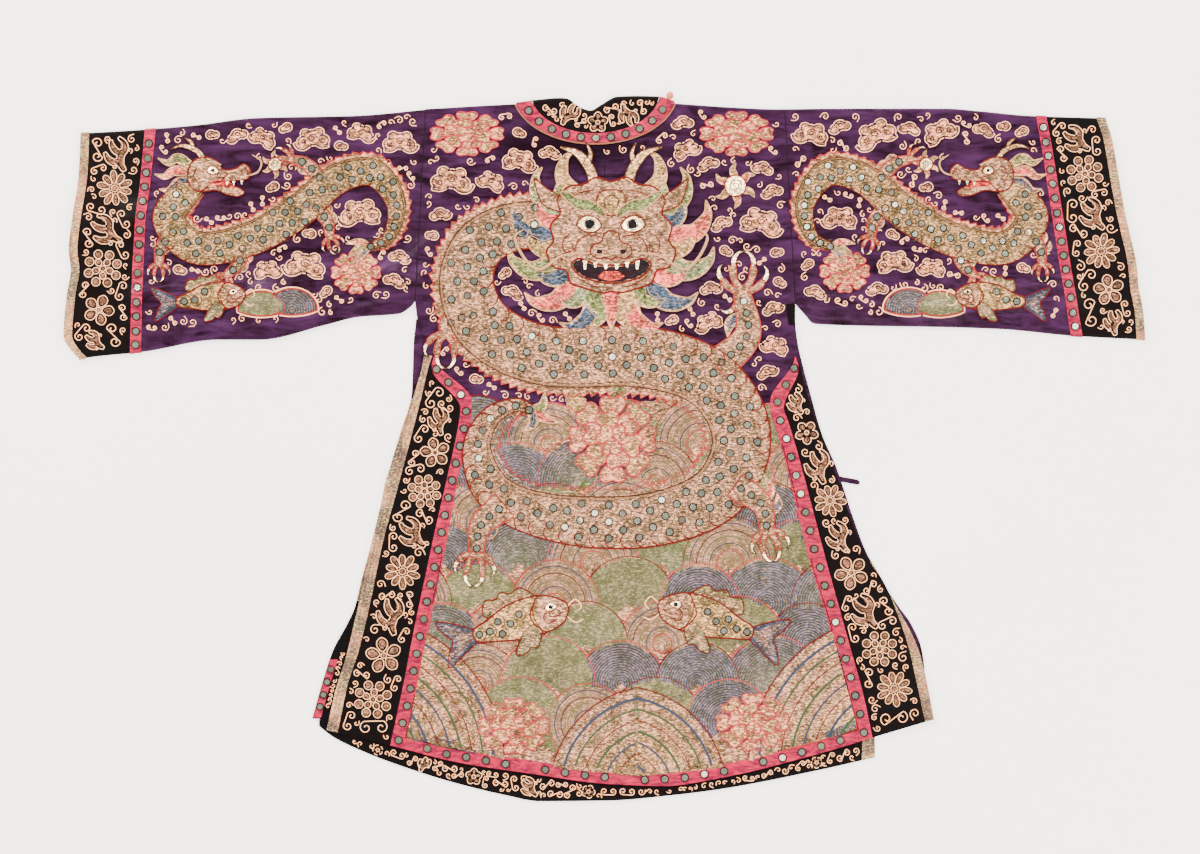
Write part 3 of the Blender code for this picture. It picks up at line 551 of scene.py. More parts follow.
def couchedLook(name, pitch, grooveShade, glint, worn, ground=None):
    # thread laid in rows that follow each shape, dyed on the mesh, over a ground that may show between
    look, n, inputs = startLook(name, Specular_IOR_Level=0.2)
    dye = n.attribute("dye", "Color")
    rows = n.group("rows", Run=n.attribute("run"), Pitch=pitch)
    if ground:
        dye = n.mixed(n.remap(rows["Height"], 0.42, 0.86), ground, dye)
    tinsel = n.group("tinsel")
    dark = n.tinted(1.0, dye, (0.19, 0.16, 0.12, 1.0))
    colour = n.mixed(n.times(tinsel["Worn"], worn), dye, dark)
    olive = n.tinted(1.0, colour, (0.76, 0.88, 0.64, 1.0))
    colour = n.mixed(tinsel["Foil"], olive, colour)
    # pale is a painted highlight: the glints of light on the metal thread, painted into its colour
    pale = n.tinted(1.0, dye, (4.7, 4.7, 4.4, 1.0))
    colour = n.mixed(n.times(tinsel["Glint"], glint), colour, pale)
    # painted shade in the grooves between the rows, by grooveShade
    n.link(n.tinted(grooveShade, colour, rows["Shade"]), inputs["Base Color"])
    n.link(n.remap(tinsel["Glint"], 0.0, 1.0, 0.62, 0.36), inputs["Roughness"])
    n.bump(inputs, n.plus(n.times(rows["Height"], 0.7), tinsel["Height"]), 0.0007)
    return look


def cordLook(name):
    # a twisted cord couched down: slanting plies along its run
    look, n, inputs = startLook(name, Specular_IOR_Level=0.15, Roughness=0.55)
    dye = n.attribute("dye", "Color")
    plies = n.group("rows", Run=n.attribute("run"), Pitch=1.5, Waver=0.4)
    # painted shade between the plies
    colour = n.tinted(0.3, dye, plies["Shade"])
    speck = n.remap(n.noise(n.place(), 520.0, 1.0, 0.6), 0.52, 0.7)
    pale = n.tinted(1.0, dye, (1.35, 1.38, 1.4, 1.0))
    n.link(n.mixed(n.times(speck, 0.5), colour, pale), inputs["Base Color"])
    n.bump(inputs, plies["Height"], 0.0004)
    return look


def mirrorLook(name):
    # small silvered glass, clouded and scratched; the palest ones are plain white and not metallic, a
    # painted reflection of a lamp
    look, n, inputs = startLook(name)
    dye = n.attribute("dye", "Color")
    clouded = n.remap(n.noise(n.place(), 240.0, 3.0, 0.6), 0.35, 0.7)
    n.link(n.tinted(n.times(clouded, 0.4), dye, (0.62, 0.60, 0.48, 1.0)), inputs["Base Color"])
    n.link(n.remap(dye, 0.84, 0.9, 0.9, 0.0), inputs["Metallic"])
    n.link(n.remap(clouded, 0.0, 1.0, 0.14, 0.34), inputs["Roughness"])
    return look


looks = {
    "satin": silkLook("purpleSatin", screen(56, 26, 45), screen(120, 70, 114), 0.36, 0.13, 0.0018, 0.3, 0.7,
                      (-0.066, 0.45, 0.13, 0.046)),
    "border": silkLook("blackSatin", screen(30, 21, 19), screen(46, 34, 30), 0.5, 0.12, 0.0008),
    "ribbon": ribbonLook("pinkRibbon", screen(174, 32, 90), screen(216, 56, 122)),
    "braid": braidLook("metalBraid"),
    "couched": couchedLook("couchedThread", 2.4, 0.45, 0.85, 0.9),
    "fans": couchedLook("wavesThread", 3.8, 0.6, 0.4, 0.35, screen(186, 162, 144)),
    "cord": cordLook("couchedCord"),
    "mirror": mirrorLook("smallMirrors"),
}
print("materials made")


# the back

def bodyGrid(lineA, lineB, low, high, columns, step, inset=0.0):
    # rows run from the hem up; each lies along the hem's curve, and the last ones along the shoulder's
    rows = max(2, int(round((high - low) / step)) + 1)
    nominal = np.linspace(low, high, rows)[:, None] + np.zeros(columns)[None, :]
    part = np.linspace(0.0, 1.0, columns)[None, :]
    y = nominal.copy()
    rise = np.clip((nominal - border["shoulderRow"]) / border["shoulderRise"], 0.0, 1.0)
    for _ in range(8):
        x = mix(lineA(y) + inset, lineB(y) - inset, part)
        above = border["shoulderRow"] + rise * (shoulderLine(x) - roll - border["shoulderRow"])
        y = np.where(rise > 0, above, nominal + hemShift(nominal, x))
    return x, y


def hemShift(nominal, x):
    # how far a row is moved to lie along the hem's curve
    pull = np.where(nominal > border["hemFree"], 0.0, np.clip(hemPull(nominal), 0.0, 1.0))
    return pull * (hemLine(x) - border["hemRow"])


def backLine(side):
    def value(y):
        return np.where(y <= armpitY[side], backEdge[side](y), armhole[side](y))
    return value


def overShoulder(x, y, radius):
    # rows that carry a grid's last row down over the fold
    return np.stack([rolled(x[-1], y[-1], radius, degrees) for degrees in range(75, -91, -15)])


def makeBack(side):
    top = border["shoulderRow"] + border["shoulderRise"]
    x, y = bodyGrid(centreSeam, backLine(side), border["hemRow"], top, 84, cloth["step"])
    z = clothHeight(x, y)
    outer = np.concatenate([stack(x, y, z), overShoulder(x, y, roll)])
    inner = np.concatenate([stack(x, y, z - cloth["wall"]), overShoulder(x, y, roll - cloth["wall"])])
    clothPiece(f"back_{side}", outer, inner, "satin", (470, 1040))


def laidTrim(node, x, y, slotName, cut, suffix="silk", lift=cloth["gap"], thick=cloth["trim"], z=None):
    # a strip sewn on a panel, a little thinner at its edges
    z = clothHeight(x, y) if z is None else z
    top = z + lift + thick
    edge = thick * 0.4
    for line in (np.s_[0, :], np.s_[-1, :], np.s_[:, 0], np.s_[:, -1]):
        top[line] -= edge
    clothPiece(node, stack(x, y, top), stack(x, y, z + lift), slotName, cut, suffix)


def makeBackTrims():
    low = border["hemRow"] + seamGap
    for side, away in outwards.items():
        inset = away * seamGap
        grid = bodyGrid(ribbonInner[side], ribbonOuter[side], low, border["ribbonTop"], 6, 4.0, inset)
        laidTrim(f"side_ribbon_{side}", *grid, "ribbon", (22, 600))
        grid = bodyGrid(ribbonOuter[side], braidInner[side], low, border["bandTop"], 19, 4.5, inset)
        laidTrim(f"side_band_{side}", *grid, "border", (92, 590))
        grid = bodyGrid(braidInner[side], backLine(side), low, braidTop[side], 5, 4.0, inset)
        laidTrim(f"side_braid_{side}", *grid, "braid", (18, braidLength[side]), "metal")
    high = border["ribbonRow"] - seamGap
    grid = bodyGrid(ribbonInner["left"], ribbonInner["right"], low, high, 160, 4.0, seamGap)
    laidTrim("hem_ribbon", *grid, "ribbon", (700, 22))


for side in sides:
    makeBack(side)
makeBackTrims()
print("back laid")


# sleeves and cuffs

def sleeveGrid(side, lineA, lineB, rows, columns=76):
    along, across = np.meshgrid(np.linspace(0, 1, rows), np.linspace(0, 1, columns), indexing="ij")
    y = np.full(along.shape, 320.0)
    for _ in range(10):
        x = mix(lineA(y), lineB(y), along)
        y = mix(sleeveBottom[side](x) + roll, sleeveTop[side](x) - roll, across)
    return x, y


def foldRows(x, y, radius, way, turns):
    # columns carried round the top fold (way 1) or the bottom one (way -1)
    edge = np.s_[:, -1:] if way > 0 else np.s_[:, :1]
    return [rolled(x[edge], y[edge], radius, degrees, way) for degrees in turns]


def ringRows(x, y, z, drop, underColumns=14):
    # one face of the flattened tube: over the top, round one fold, back underneath and round the other
    t = np.linspace(1, 0, underColumns + 2)[None, 1:-1]
    below = stack(mix(x[:, :1], x[:, -1:], t), mix(y[:, :1], y[:, -1:], t), drop)
    return np.concatenate([stack(x, y, z - drop), *foldRows(x, y, roll - drop, 1, range(60, -91, -30)),
                           below, *foldRows(x, y, roll - drop, -1, range(-90, 61, 30))], axis=1)


def sleeveTube(node, side, lineA, lineB, rows, slotName, cut):
    x, y = sleeveGrid(side, lineA, lineB, rows)
    z = clothHeight(x, y)
    outer, inner = ringRows(x, y, z, 0.0), ringRows(x, y, z, cloth["wall"])
    clothPiece(node, outer, inner, slotName, cut, ring=True)


def sleeveTrim(node, side, lineA, lineB, rows, slotName, cut, suffix):
    # lies on the upper face and round both folds, a little short of the surface below
    x, y = sleeveGrid(side, lineA, lineB, rows)
    z = clothHeight(x, y)
    faces = []
    for lift in (onTrim, cloth["gap"]):
        faces.append(np.concatenate([*foldRows(x, y, roll + lift, -1, range(-40, 71, 22)),
                                     stack(x, y, z + lift),
                                     *foldRows(x, y, roll + lift, 1, range(70, -41, -22))], axis=1))
    for end in (0, -1):
        faces[0][end, :, 2] = np.maximum(faces[0][end, :, 2] - 0.3, 0.1)
    clothPiece(node, faces[0], faces[1], slotName, cut, suffix)


def shifted(line, by):
    return lambda y: line(y) + by


def makeSleeve(side):
    inset = outwards[side] * seamGap
    sleeveTube(f"sleeve_{side}", side, armhole[side], cuffSeam[side], 96, "satin", (650, 450))
    sleeveTube(f"cuff_{side}", side, cuffSeam[side], cuffEnd[side], 24, "border", (670, 110))
    sleeveTrim(f"cuff_ribbon_{side}", side, shifted(cuffRibbon[side], inset),
               shifted(cuffSeam[side], -inset), 6, "ribbon", (360, 19), "silk")
    sleeveTrim(f"cuff_braid_{side}", side, shifted(cuffEnd[side], -outwards[side] * border["cuffBraid"]),
               cuffEnd[side], 5, "braid", (360, 14), "metal")


for side in sides:
    makeSleeve(side)
print("sleeves laid")


# the front, which lies underneath with its edges turned up

def patchGrid(bottom, top, left, right):
    # a grid between four edges that share their corners; each edge is an array of places
    s = np.linspace(0, 1, len(bottom))[None, :, None]
    t = np.linspace(0, 1, len(left))[:, None, None]
    across = mix(bottom[None, :, :], top[None, :, :], t)
    upward = mix(left[:, None, :], right[:, None, :], s)
    corners = mix(mix(bottom[0], bottom[-1], s), mix(top[0], top[-1], s), t)
    return across + upward - corners


def flatFront(node, bottom, top, left, right, cut):
    plan = patchGrid(bottom, top, left, right)
    x, y = plan[..., 0], plan[..., 1]
    clothPiece(node, stack(x, y, cloth["wall"]), stack(x, y, 0.0), "satin", cut)


def makeFront():
    insideEdge, turnEnd = cloth["turn"] + cloth["gap"], 205
    columns, rows = 40, 90
    seamY, sideY = np.linspace(-505, 420, rows), np.linspace(-462, 212, rows)
    seam = asPath(centreSeam(seamY) + seamGap, seamY)
    right = asPath(frontEdge["right"](sideY), sideY)
    x = np.linspace(seam[0, 0], right[0, 0], columns)
    hem = asPath(x, frontHemLine(x) + insideEdge)
    seam[0], right[0] = hem[0], hem[-1]
    x = np.linspace(seam[-1, 0], right[-1, 0], columns)
    closing = asPath(x, closingLine(x))
    closing[0], closing[-1] = seam[-1], right[-1]
    flatFront("front_right", hem, closing, seam, right, (480, 960))

    seam = asPath(centreSeam(seamY) - seamGap, seamY)
    sideY = np.linspace(-404, 470, rows)
    edge = np.where(sideY < turnEnd, frontEdge["left"](np.minimum(sideY, turnEnd)) + insideEdge,
                    armhole["left"](np.maximum(sideY, armpitY["left"])) + cloth["gap"])
    edge = asPath(edge, sideY)
    x = np.linspace(edge[0, 0], seam[0, 0], columns)
    hem = asPath(x, frontHemLine(x) + insideEdge)
    edge[0], seam[0] = hem[0], hem[-1]
    x = np.linspace(edge[-1, 0], seam[-1, 0], columns)
    neck = asPath(x, mix(edge[-1, 1], seam[-1, 1], np.linspace(0, 1, columns) ** 2))
    flatFront("front_left", hem, neck, edge, seam, (480, 1000))


def turnedStrip(node, edge, inwards, widths, slotName, cut, suffix="silk", columns=8):
    # a cloth edge folded up: upper leg, fold and a short lower leg
    radius, high = turnedTop / 2, turnedTop
    faces = []
    for size, upper, lower in ((radius, high, 0.0), (seamGap, high - cloth["wall"], cloth["wall"])):
        reach = [mix(widths, radius, t) for t in np.linspace(0, 1, columns)]
        heights = [upper] * columns
        for degrees in range(70, -91, -20):
            angle = radians(degrees)
            reach.append(np.full(len(edge), radius - size * cos(angle)))
            heights.append(radius + size * sin(angle))
        reach.append(np.full(len(edge), cloth["turn"]))
        heights.append(lower)
        reach = np.stack(reach, 1)
        x = edge[:, :1] + inwards[0] * reach
        y = edge[:, 1:] + inwards[1] * reach
        faces.append(stack(x, y, np.array(heights)[None, :]))
    clothPiece(node, faces[0], faces[1], slotName, cut, suffix)


turnedSides = (
    # piece, lowest and highest place, slot
    ("front_band_turn", -407, -230, "border"), ("front_side_braid", -229.7, 72, "braid"),
    ("front_side_turn", 72.3, 192, "satin"),
)


def sideRoom(y):
    # how far the front shows beyond the back along the left side
    return backEdge["left"](np.maximum(y, -424)) - frontEdge["left"](y)


def makeTurns():
    for node, low, high, slotName in turnedSides:
        y = np.linspace(low, high, int((high - low) / 4))
        edge = asPath(frontEdge["left"](y), y)
        turnedStrip(node, edge, (1, 0), np.maximum(sideRoom(y), 4) + 9, slotName, (44, high - low + 8))
    x = np.linspace(-428, 386, 200)
    edge = asPath(x, frontHemLine(x))
    full = np.maximum(hemLine(np.maximum(x, -417)) - edge[:, 1], 10) + 14
    width = np.minimum(full, -409.4 - edge[:, 1])
    turnedStrip("front_hem_turn", edge, (0, 1), width, "border", (840, 60))
    x = np.linspace(386.3, 405.5, 6)
    edge = asPath(x, frontHemLine(x))
    turnedStrip("front_hem_braid", edge, (0, 1), hemLine(x) - edge[:, 1] + 8, "braid", (20, 65), "metal")
    y = np.linspace(-405.5, -318, 24)
    part = np.linspace(0, 1, 4)[None, :]
    x = frontEdge["left"](y)[:, None] + mix(1.2, np.minimum(13, sideRoom(y) - 2)[:, None], part)
    laidTrim("front_band_ribbon", x, y[:, None] + np.zeros(x.shape), "ribbon", (13, 90), thick=0.6,
             z=np.full(x.shape, turnedTop))
    # the hidden underlap stays the plain solid, in the same satin
    kept = bpy.data.objects["front_underlap"].data.materials
    kept.clear()
    kept.append(looks["satin"])


makeFront()
makeTurns()
print("front laid")


# collar, knot button, tie and tab

def arcPlace(edge, wider, degrees):
    # a place of the collar's outer or inner edge, moved out by a little
    angle = np.radians(degrees)
    return (collarArc["x"] + (collarArc[edge + "X"] + wider) * np.cos(angle),
            collarArc["y"] + (collarArc[edge + "Y"] + wider) * np.sin(angle))


def arcEnds(edge, wider=0.0):
    # the angles where an arc meets the flat part of the collar's top edge
    ends = []
    for away in (-1, 1):
        angle = 270.0
        while abs(angle - 270) <= 88:
            x, y = arcPlace(edge, wider, angle)
            if y >= collarTop(x) - roll:
                break
            angle += away * 0.25
        ends.append(angle)
    return ends


def overEdge(x, y, radius):
    return [rolled(x, y, radius, degrees) for degrees in range(75, -31, -15)]


def makeCollar():
    low = clothTop + cloth["gap"]
    lineX, lineY = arcPlace("inner", -0.3, np.linspace(*arcEnds("inner", 0.5), 60))
    faces = []
    for lift in (cloth["trim"], 0.0):
        high = np.maximum(collarTop(lineX) - roll - onTrim, lineY + 1.5)
        rows = [stack(lineX, mix(lineY, high, t), low + lift) for t in np.linspace(0, 1, 12)]
        faces.append(np.stack(rows + overEdge(lineX, high, roll + cloth["gap"] + lift)))
    clothPiece("collar_band", faces[0], faces[1], "border", (210, 75))

    outer, inner = arcEnds("outer"), arcEnds("inner")
    faces = []
    for lift in (cloth["trim"], 0.0):
        parts = np.linspace(0, 1, 5)[None, :]
        outerX, outerY = arcPlace("outer", 0.0, np.linspace(*outer, 80)[:, None])
        innerX, innerY = arcPlace("inner", 0.0, np.linspace(*inner, 80)[:, None])
        x, y = mix(outerX, innerX, parts), mix(outerY, innerY, parts)
        for end in (0, -1):
            y[end] = collarTop(x[end]) - roll - onTrim
        level = stack(x, y, low + lift - 0.3 * (np.abs(parts - 0.5) > 0.4) * (lift > 0))
        radius = roll + cloth["gap"] + lift
        faces.append(np.concatenate([np.stack(overEdge(x[0], y[0], radius))[::-1], level,
                                     np.stack(overEdge(x[-1], y[-1], radius))]))
    clothPiece("collar_ribbon", faces[0], faces[1], "ribbon", (26, 330))
    return outer


collarEnds = makeCollar()


def makeTie():
    # a tie at the right side, and the tab under the right arm
    tieY, length, width = -47, 33, 8
    x = frontEdge["right"](float(tieY)) + cloth["gap"] + 0.2
    t = np.linspace(0, 1, 16)[:, None]
    s = np.linspace(-0.5, 0.5, 5)[None, :]
    ends = np.where(t > 0.86, np.sqrt(np.maximum(0.05, 1 - ((t - 0.86) / 0.15) ** 2)), 1.0)
    y = tieY - 6 * t + width * s * ends
    x = x + length * t + np.zeros(y.shape)
    z = 1.2 + 0.25 * np.sin(9 * t) * (t > 0.1)
    clothPiece("side_tie", stack(x, y, z), stack(x, y, 0.0), "satin", (10, 35))
    y = np.linspace(183.5, 215, 10)[:, None] + np.zeros((1, 5))
    outerX = backEdge["right"](np.minimum(y, 215)) - 0.3
    x = mix(mix(braidInner["right"](y), outerX, 0.62), outerX, np.linspace(0, 1, 5)[None, :])
    laidTrim("underarm_tab", x, y, "border", (14, 33), z=np.full(x.shape, float(clothHeight(x, y).max())))


def tube(name, node, rings, dye, run):
    count, around = rings.shape[:2]
    faces = gridFaces(count, around, True).tolist()
    faces += [list(range(around))[::-1], list(range((count - 1) * around, count * around))]
    piece = makePiece(name, rings.reshape(-1, 3), faces, "cord", "cord",
                      dye=np.tile(dye, (count * around, 1)), run=np.repeat(run, around))
    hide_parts(node)


def makeCollarCord():
    # two plies of gold cord laid along the ribbon's outer edge
    size, low = 1.1, clothTop + cloth["gap"]
    angle = np.linspace(collarEnds[0] + 0.6, collarEnds[1] - 0.6, 520)
    x, y = arcPlace("outer", 0.3 + size, angle)
    run = runAlong(asPath(x, y))
    outX, outY = np.gradient(y) / np.gradient(run), -np.gradient(x) / np.gradient(run)
    around = roundAngles(12)[None, :]
    reach = size * (0.72 + 0.28 * np.abs(np.cos(around - run[:, None] * pi / 3.2)))
    rings = stack(x[:, None] + outX[:, None] * reach * np.cos(around),
                  y[:, None] + outY[:, None] * reach * np.cos(around), low + size + reach * np.sin(around))
    tube("collar_cord_twist", "collar_cord", rings, screen(202, 166, 132), run)


def makeButton():
    # a ball knot of cord, its turns crossing in three directions
    middle = np.array([98.0, float(collarTop(98.0)) + 5.5, 5.9])
    polar = np.radians(np.linspace(-87, 87, 40))[:, None]
    around = roundAngles(48)[None, :]
    out = stack(np.cos(polar) * np.cos(around), np.cos(polar) * np.sin(around), np.sin(polar))
    which = np.abs(out).argmax(-1)
    across = np.take_along_axis(out, ((which + 1) % 3)[..., None], -1)[..., 0]
    reach = 5.25 + 0.6 * np.abs(np.cos(across * 9.5))
    tube("knot_button_cord", "knot_button", middle + out * reach[..., None], screen(222, 190, 164),
         np.linspace(0, 16, 40))


makeTie()
makeCollarCord()
makeButton()
print("collar and closing made")


# embroidery: fills, cords and mirrors are gathered and made as joined meshes

threads = {
    "rose": screen(196, 166, 140), "gold": screen(202, 178, 138), "beige": screen(206, 170, 144),
    "blush": screen(212, 180, 152), "straw": screen(190, 164, 126), "cream": screen(218, 200, 174),
    "cord": screen(238, 220, 200), "olive": screen(124, 120, 82), "sage": screen(164, 166, 116),
    "jade": screen(172, 174, 142), "blue": screen(104, 118, 140), "steel": screen(80, 94, 124),
    "coral": screen(206, 100, 90), "blossom": screen(212, 136, 128), "pink": screen(212, 100, 114),
    "red": screen(168, 52, 46), "copper": screen(176, 134, 108), "rust": screen(136, 78, 58),
    "plum": screen(54, 26, 40), "violet": screen(68, 36, 60), "rim": screen(58, 54, 42),
    "green": screen(110, 140, 92), "white": screen(232, 226, 214), "ink": screen(36, 30, 30),
}
levels = {"cloth": clothHeight, "border": lambda x, y: clothHeight(x, y) + onTrim,
          "turned": lambda x, y: np.full(np.shape(x), turnedTop)}
cordStep = 1.9  # distance between the places of a fine cord
twinShape = ((-0.5, -0.15), (-0.27, 1.0), (0.0, 0.45), (0.27, 1.0), (0.5, -0.15))
plainShape = ((-0.5, -0.15), (-0.24, 1.0), (0.24, 1.0), (0.5, -0.15))


class Stitches:
    # gathers the forms of one piece until it is made; heights are above the level it is sewn to
    def __init__(self, name, look, slotName):
        self.name, self.look, self.slotName = name, look, slotName
        self.fill = self.cord = self
        self.level, self.count = "cloth", 0
        self.parts, self.quads, self.triangles = [], [], []

    def add(self, places, heights, dye, run, quads=None, triangles=None):
        # dye is the name of a thread, one colour or a colour for each place
        amount = len(places)
        dye = np.asarray(threads[dye] if isinstance(dye, str) else dye, float)
        kind = list(levels).index(self.level)
        self.parts.append((places, heights, np.full(amount, kind), np.broadcast_to(dye, (amount, 4)),
                           np.broadcast_to(np.asarray(run, float), (amount,))))
        for kept, faces in ((self.quads, quads), (self.triangles, triangles)):
            if faces is not None and len(faces):
                kept.append(np.asarray(faces, int) + self.count)
        self.count += amount

    def make(self):
        places, z, kinds, dyes, runs = [np.concatenate(parts) for parts in zip(*self.parts)]
        for index, level in enumerate(levels.values()):
            at = kinds == index
            if at.any():
                z[at] += level(places[at, 0], places[at, 1])
        faces = []
        for kept in (self.quads, self.triangles):
            if kept:
                faces += np.concatenate(kept).tolist()
        makePiece(self.name, np.column_stack([places, z]), faces, self.look, self.slotName,
                  dye=dyes, run=runs)


def evenly(curve, step, closed=False):
    # the same curve with places at even distances
    curve = np.asarray(curve, float)
    if closed:
        curve = np.concatenate([curve, curve[:1]])
    lengths = runAlong(curve)
    at = np.linspace(0, lengths[-1], max(3, int(round(lengths[-1] / step)) + 1))
    found = np.stack([np.interp(at, lengths, curve[:, k]) for k in (0, 1)], 1)
    return found[:-1] if closed else found


def smooth(points, step=3.0, closed=False):
    # a round curve through a few places
    p = np.asarray(points, float)
    if closed:
        p = np.concatenate([p[-1:], p, p[:2]])
    else:
        p = np.concatenate([2 * p[:1] - p[1:2], p, 2 * p[-1:] - p[-2:-1]])
    t = np.linspace(0, 1, 14, endpoint=False)[:, None]
    parts = []
    for a, b, c, d in zip(p, p[1:], p[2:], p[3:]):
        parts.append(0.5 * (2 * b + (c - a) * t + (2 * a - 5 * b + 4 * c - d) * t ** 2
                            + (3 * b - 3 * c + d - a) * t ** 3))
    if not closed:
        parts.append(p[-2:-1])
    return evenly(np.concatenate(parts), step, closed)


def normals(path, closed=False):
    ahead = np.roll(path, -1, 0) - np.roll(path, 1, 0) if closed else np.gradient(path, axis=0)
    ahead = ahead / np.maximum(np.hypot(ahead[:, 0], ahead[:, 1]), 1e-9)[:, None]
    return asPath(-ahead[:, 1], ahead[:, 0])


def halvesAlong(path, half, stops, parts):
    # half widths for the places of a path, from parts of the greatest one at a few stops
    return half * np.interp(np.linspace(0, 1, len(path)), stops, parts)


def offset(path, by, closed=False):
    # the path moved to its left by one distance or a distance for each place
    path = np.asarray(path, float)
    return path + normals(path, closed) * np.reshape(by, (-1, 1) if np.ndim(by) else (1, 1))


def strand(work, path, dye, width=2.0, rise=0.8, lift=0.0, closed=False, twin=False, taper=0.0):
    # a cord laid along a path; twin gives it two plies, taper is the length over which its ends thin
    path = np.asarray(path, float)
    count, shape = len(path), np.array(twinShape if twin else plainShape)
    if count < 2:
        return
    side, run = normals(path, closed), runAlong(path)
    size = np.ones(count)
    if taper:
        size = np.minimum(1.0, 0.3 + np.minimum(run, run[-1] - run) / taper)
    places = path[:, None] + side[:, None] * (shape[None, :, 0, None] * width * size[:, None, None])
    heights = lift + shape[None, :, 1] * rise * size[:, None]
    edges = len(shape)
    quads = gridFaces(count + 1 if closed else count, edges, True)[:, (0, 3, 2, 1)] % (count * edges)
    caps = None
    if not closed:
        last = (count - 1) * edges
        fan = np.array([(0, k, k + 1) for k in range(1, edges - 1)])
        caps = np.concatenate([fan, fan[:, ::-1] + last])
    work.cord.add(places.reshape(-1, 2), heights.ravel(), dye, np.repeat(run, edges), quads, caps)


def byParts(test, x, y, size=4000):
    # a test of many places against an outline, a part of them at a time
    starts = range(0, max(len(x), 1), size)
    return np.concatenate([test(x[k:k + size, None], y[k:k + size, None]) for k in starts])


def inside(outline, x, y):
    ax, ay = outline.T
    bx, by = np.roll(outline, -1, 0).T

    def test(px, py):
        across = ax + (py - ay) * (bx - ax) / np.where(by == ay, 1e-9, by - ay)
        return (((ay > py) != (by > py)) & (px < across)).sum(1) % 2 == 1
    return byParts(test, x, y)


def awayFrom(outline, x, y):
    # how far places lie from a closed line
    step = np.roll(outline, -1, 0) - outline
    size = np.maximum((step ** 2).sum(1), 1e-9)

    def test(px, py):
        px, py = px - outline[:, 0], py - outline[:, 1]
        t = np.clip((px * step[:, 0] + py * step[:, 1]) / size, 0, 1)
        return np.hypot(px - t * step[:, 0], py - t * step[:, 1]).min(1)
    return byParts(test, x, y)


room = {"x": -830.0, "y": -560.0, "cell": 2.0, "columns": 830, "rows": 560}
cellX, cellY = np.meshgrid(room["x"] + room["cell"] * np.arange(room["columns"]),
                           room["y"] + room["cell"] * np.arange(room["rows"]))
taken = np.zeros(cellX.shape, bool)


def cellsOf(lowX, lowY, highX, highY):
    # the cells of the plan of taken places that a box covers
    def index(value, start, count):
        return int(min(max((value - start) / room["cell"], 0), count))
    return (slice(index(lowY, room["y"], room["rows"]), index(highY, room["y"], room["rows"]) + 1),
            slice(index(lowX, room["x"], room["columns"]), index(highX, room["x"], room["columns"]) + 1))


def markShape(outline, margin=0.0):
    low, high = outline.min(0) - margin, outline.max(0) + margin
    cells = cellsOf(*low, *high)
    x, y = cellX[cells].ravel(), cellY[cells].ravel()
    covered = inside(outline, x, y)
    if margin:
        covered |= awayFrom(outline, x, y) < margin
    taken[cells] |= covered.reshape(cellX[cells].shape)


def markDisc(x, y, radius):
    cells = cellsOf(x - radius, y - radius, x + radius, y + radius)
    taken[cells] |= np.hypot(cellX[cells] - x, cellY[cells] - y) < radius


def fillShape(work, outline, dye, lift=0.0, rise=0.6, step=6.0, flow=None, rim=2.5):
    # a closed shape filled with laid thread; flow gives the rows another direction than the outline's
    outline = np.asarray(outline, float)
    low, high = outline.min(0), outline.max(0)
    gridX, gridY = np.meshgrid(np.arange(low[0], high[0], step), np.arange(low[1], high[1], step * 0.866))
    gridX[1::2] += step / 2
    grid = asPath(gridX.ravel(), gridY.ravel())
    grid = grid[inside(outline, *grid.T)]
    if len(grid):
        grid = grid[awayFrom(outline, *grid.T) > step * 0.4]
    plan = [Vector(p) for p in np.concatenate([outline, grid]).tolist()]
    places, _, faces, *_ = delaunay_2d_cdt(plan, [], [list(range(len(outline)))], 1, 1e-4)
    places = np.array([tuple(p) for p in places])
    away = awayFrom(outline, places[:, 0], places[:, 1])
    part = np.clip(away / rim, 0, 1)
    heights = lift - 0.35 + (rise + 0.35) * (1 - (1 - part) ** 2)
    run = flow(places[:, 0], places[:, 1]) if flow else away
    if callable(dye):
        dye = dye(places[:, 0], places[:, 1], away)
    work.fill.add(places, heights, dye, run, None, [face for face in faces if len(face) == 3])
    markShape(outline)


def blend(a, b, t):
    # the colour between two threads; t may be one part or a part for each place
    a, b = np.asarray(threads[a]), np.asarray(threads[b])
    return a + (b - a) * np.reshape(t, (-1, 1))


def ellipse(x, y, across, up, angle=0.0, count=20):
    t = roundAngles(count)
    return turned(asPath(across * np.cos(t), up * np.sin(t)), x, y, 1.0, angle)


def turned(points, x, y, size=1.0, angle=0.0, flip=False):
    p = np.asarray(points, float) * size
    if flip:
        p = p * (-1, 1)
    c, s = cos(angle), sin(angle)
    return asPath(x + p[:, 0] * c - p[:, 1] * s, y + p[:, 0] * s + p[:, 1] * c)


def dome(work, outline, dye, lift=0.0, rise=0.8):
    # a small padded shape: its outline, one ring inside it and a crown
    outline = np.asarray(outline, float)
    count, middle = len(outline), np.asarray(outline, float).mean(0)
    places = np.concatenate([outline, mix(middle, outline, 0.62), middle[None]])
    heights = np.concatenate([np.full(count, lift - 0.15), np.full(count, lift + rise), [lift + rise * 1.1]])
    away = np.hypot(*(outline - middle).T)
    run = np.concatenate([np.zeros(count), away * 0.38, [away.mean()]])
    k = np.arange(count)
    after = (k + 1) % count
    quads = np.stack([k, after, after + count, k + count], 1)
    crown = np.stack([k + count, after + count, np.full(count, 2 * count)], 1)
    work.fill.add(places, heights, dye, run, quads, crown)


def petalShape(x, y, angle, length, width, count=14, point=0.35):
    # a petal that starts at a place, widest past its middle
    t = roundAngles(count)
    out = (1 - np.cos(t)) / 2
    across = -np.sin(t) * width / 2 * (0.55 + 0.75 * out) * (1 - point * out ** 6)
    return turned(asPath(out * length, across), x, y, 1.0, angle)


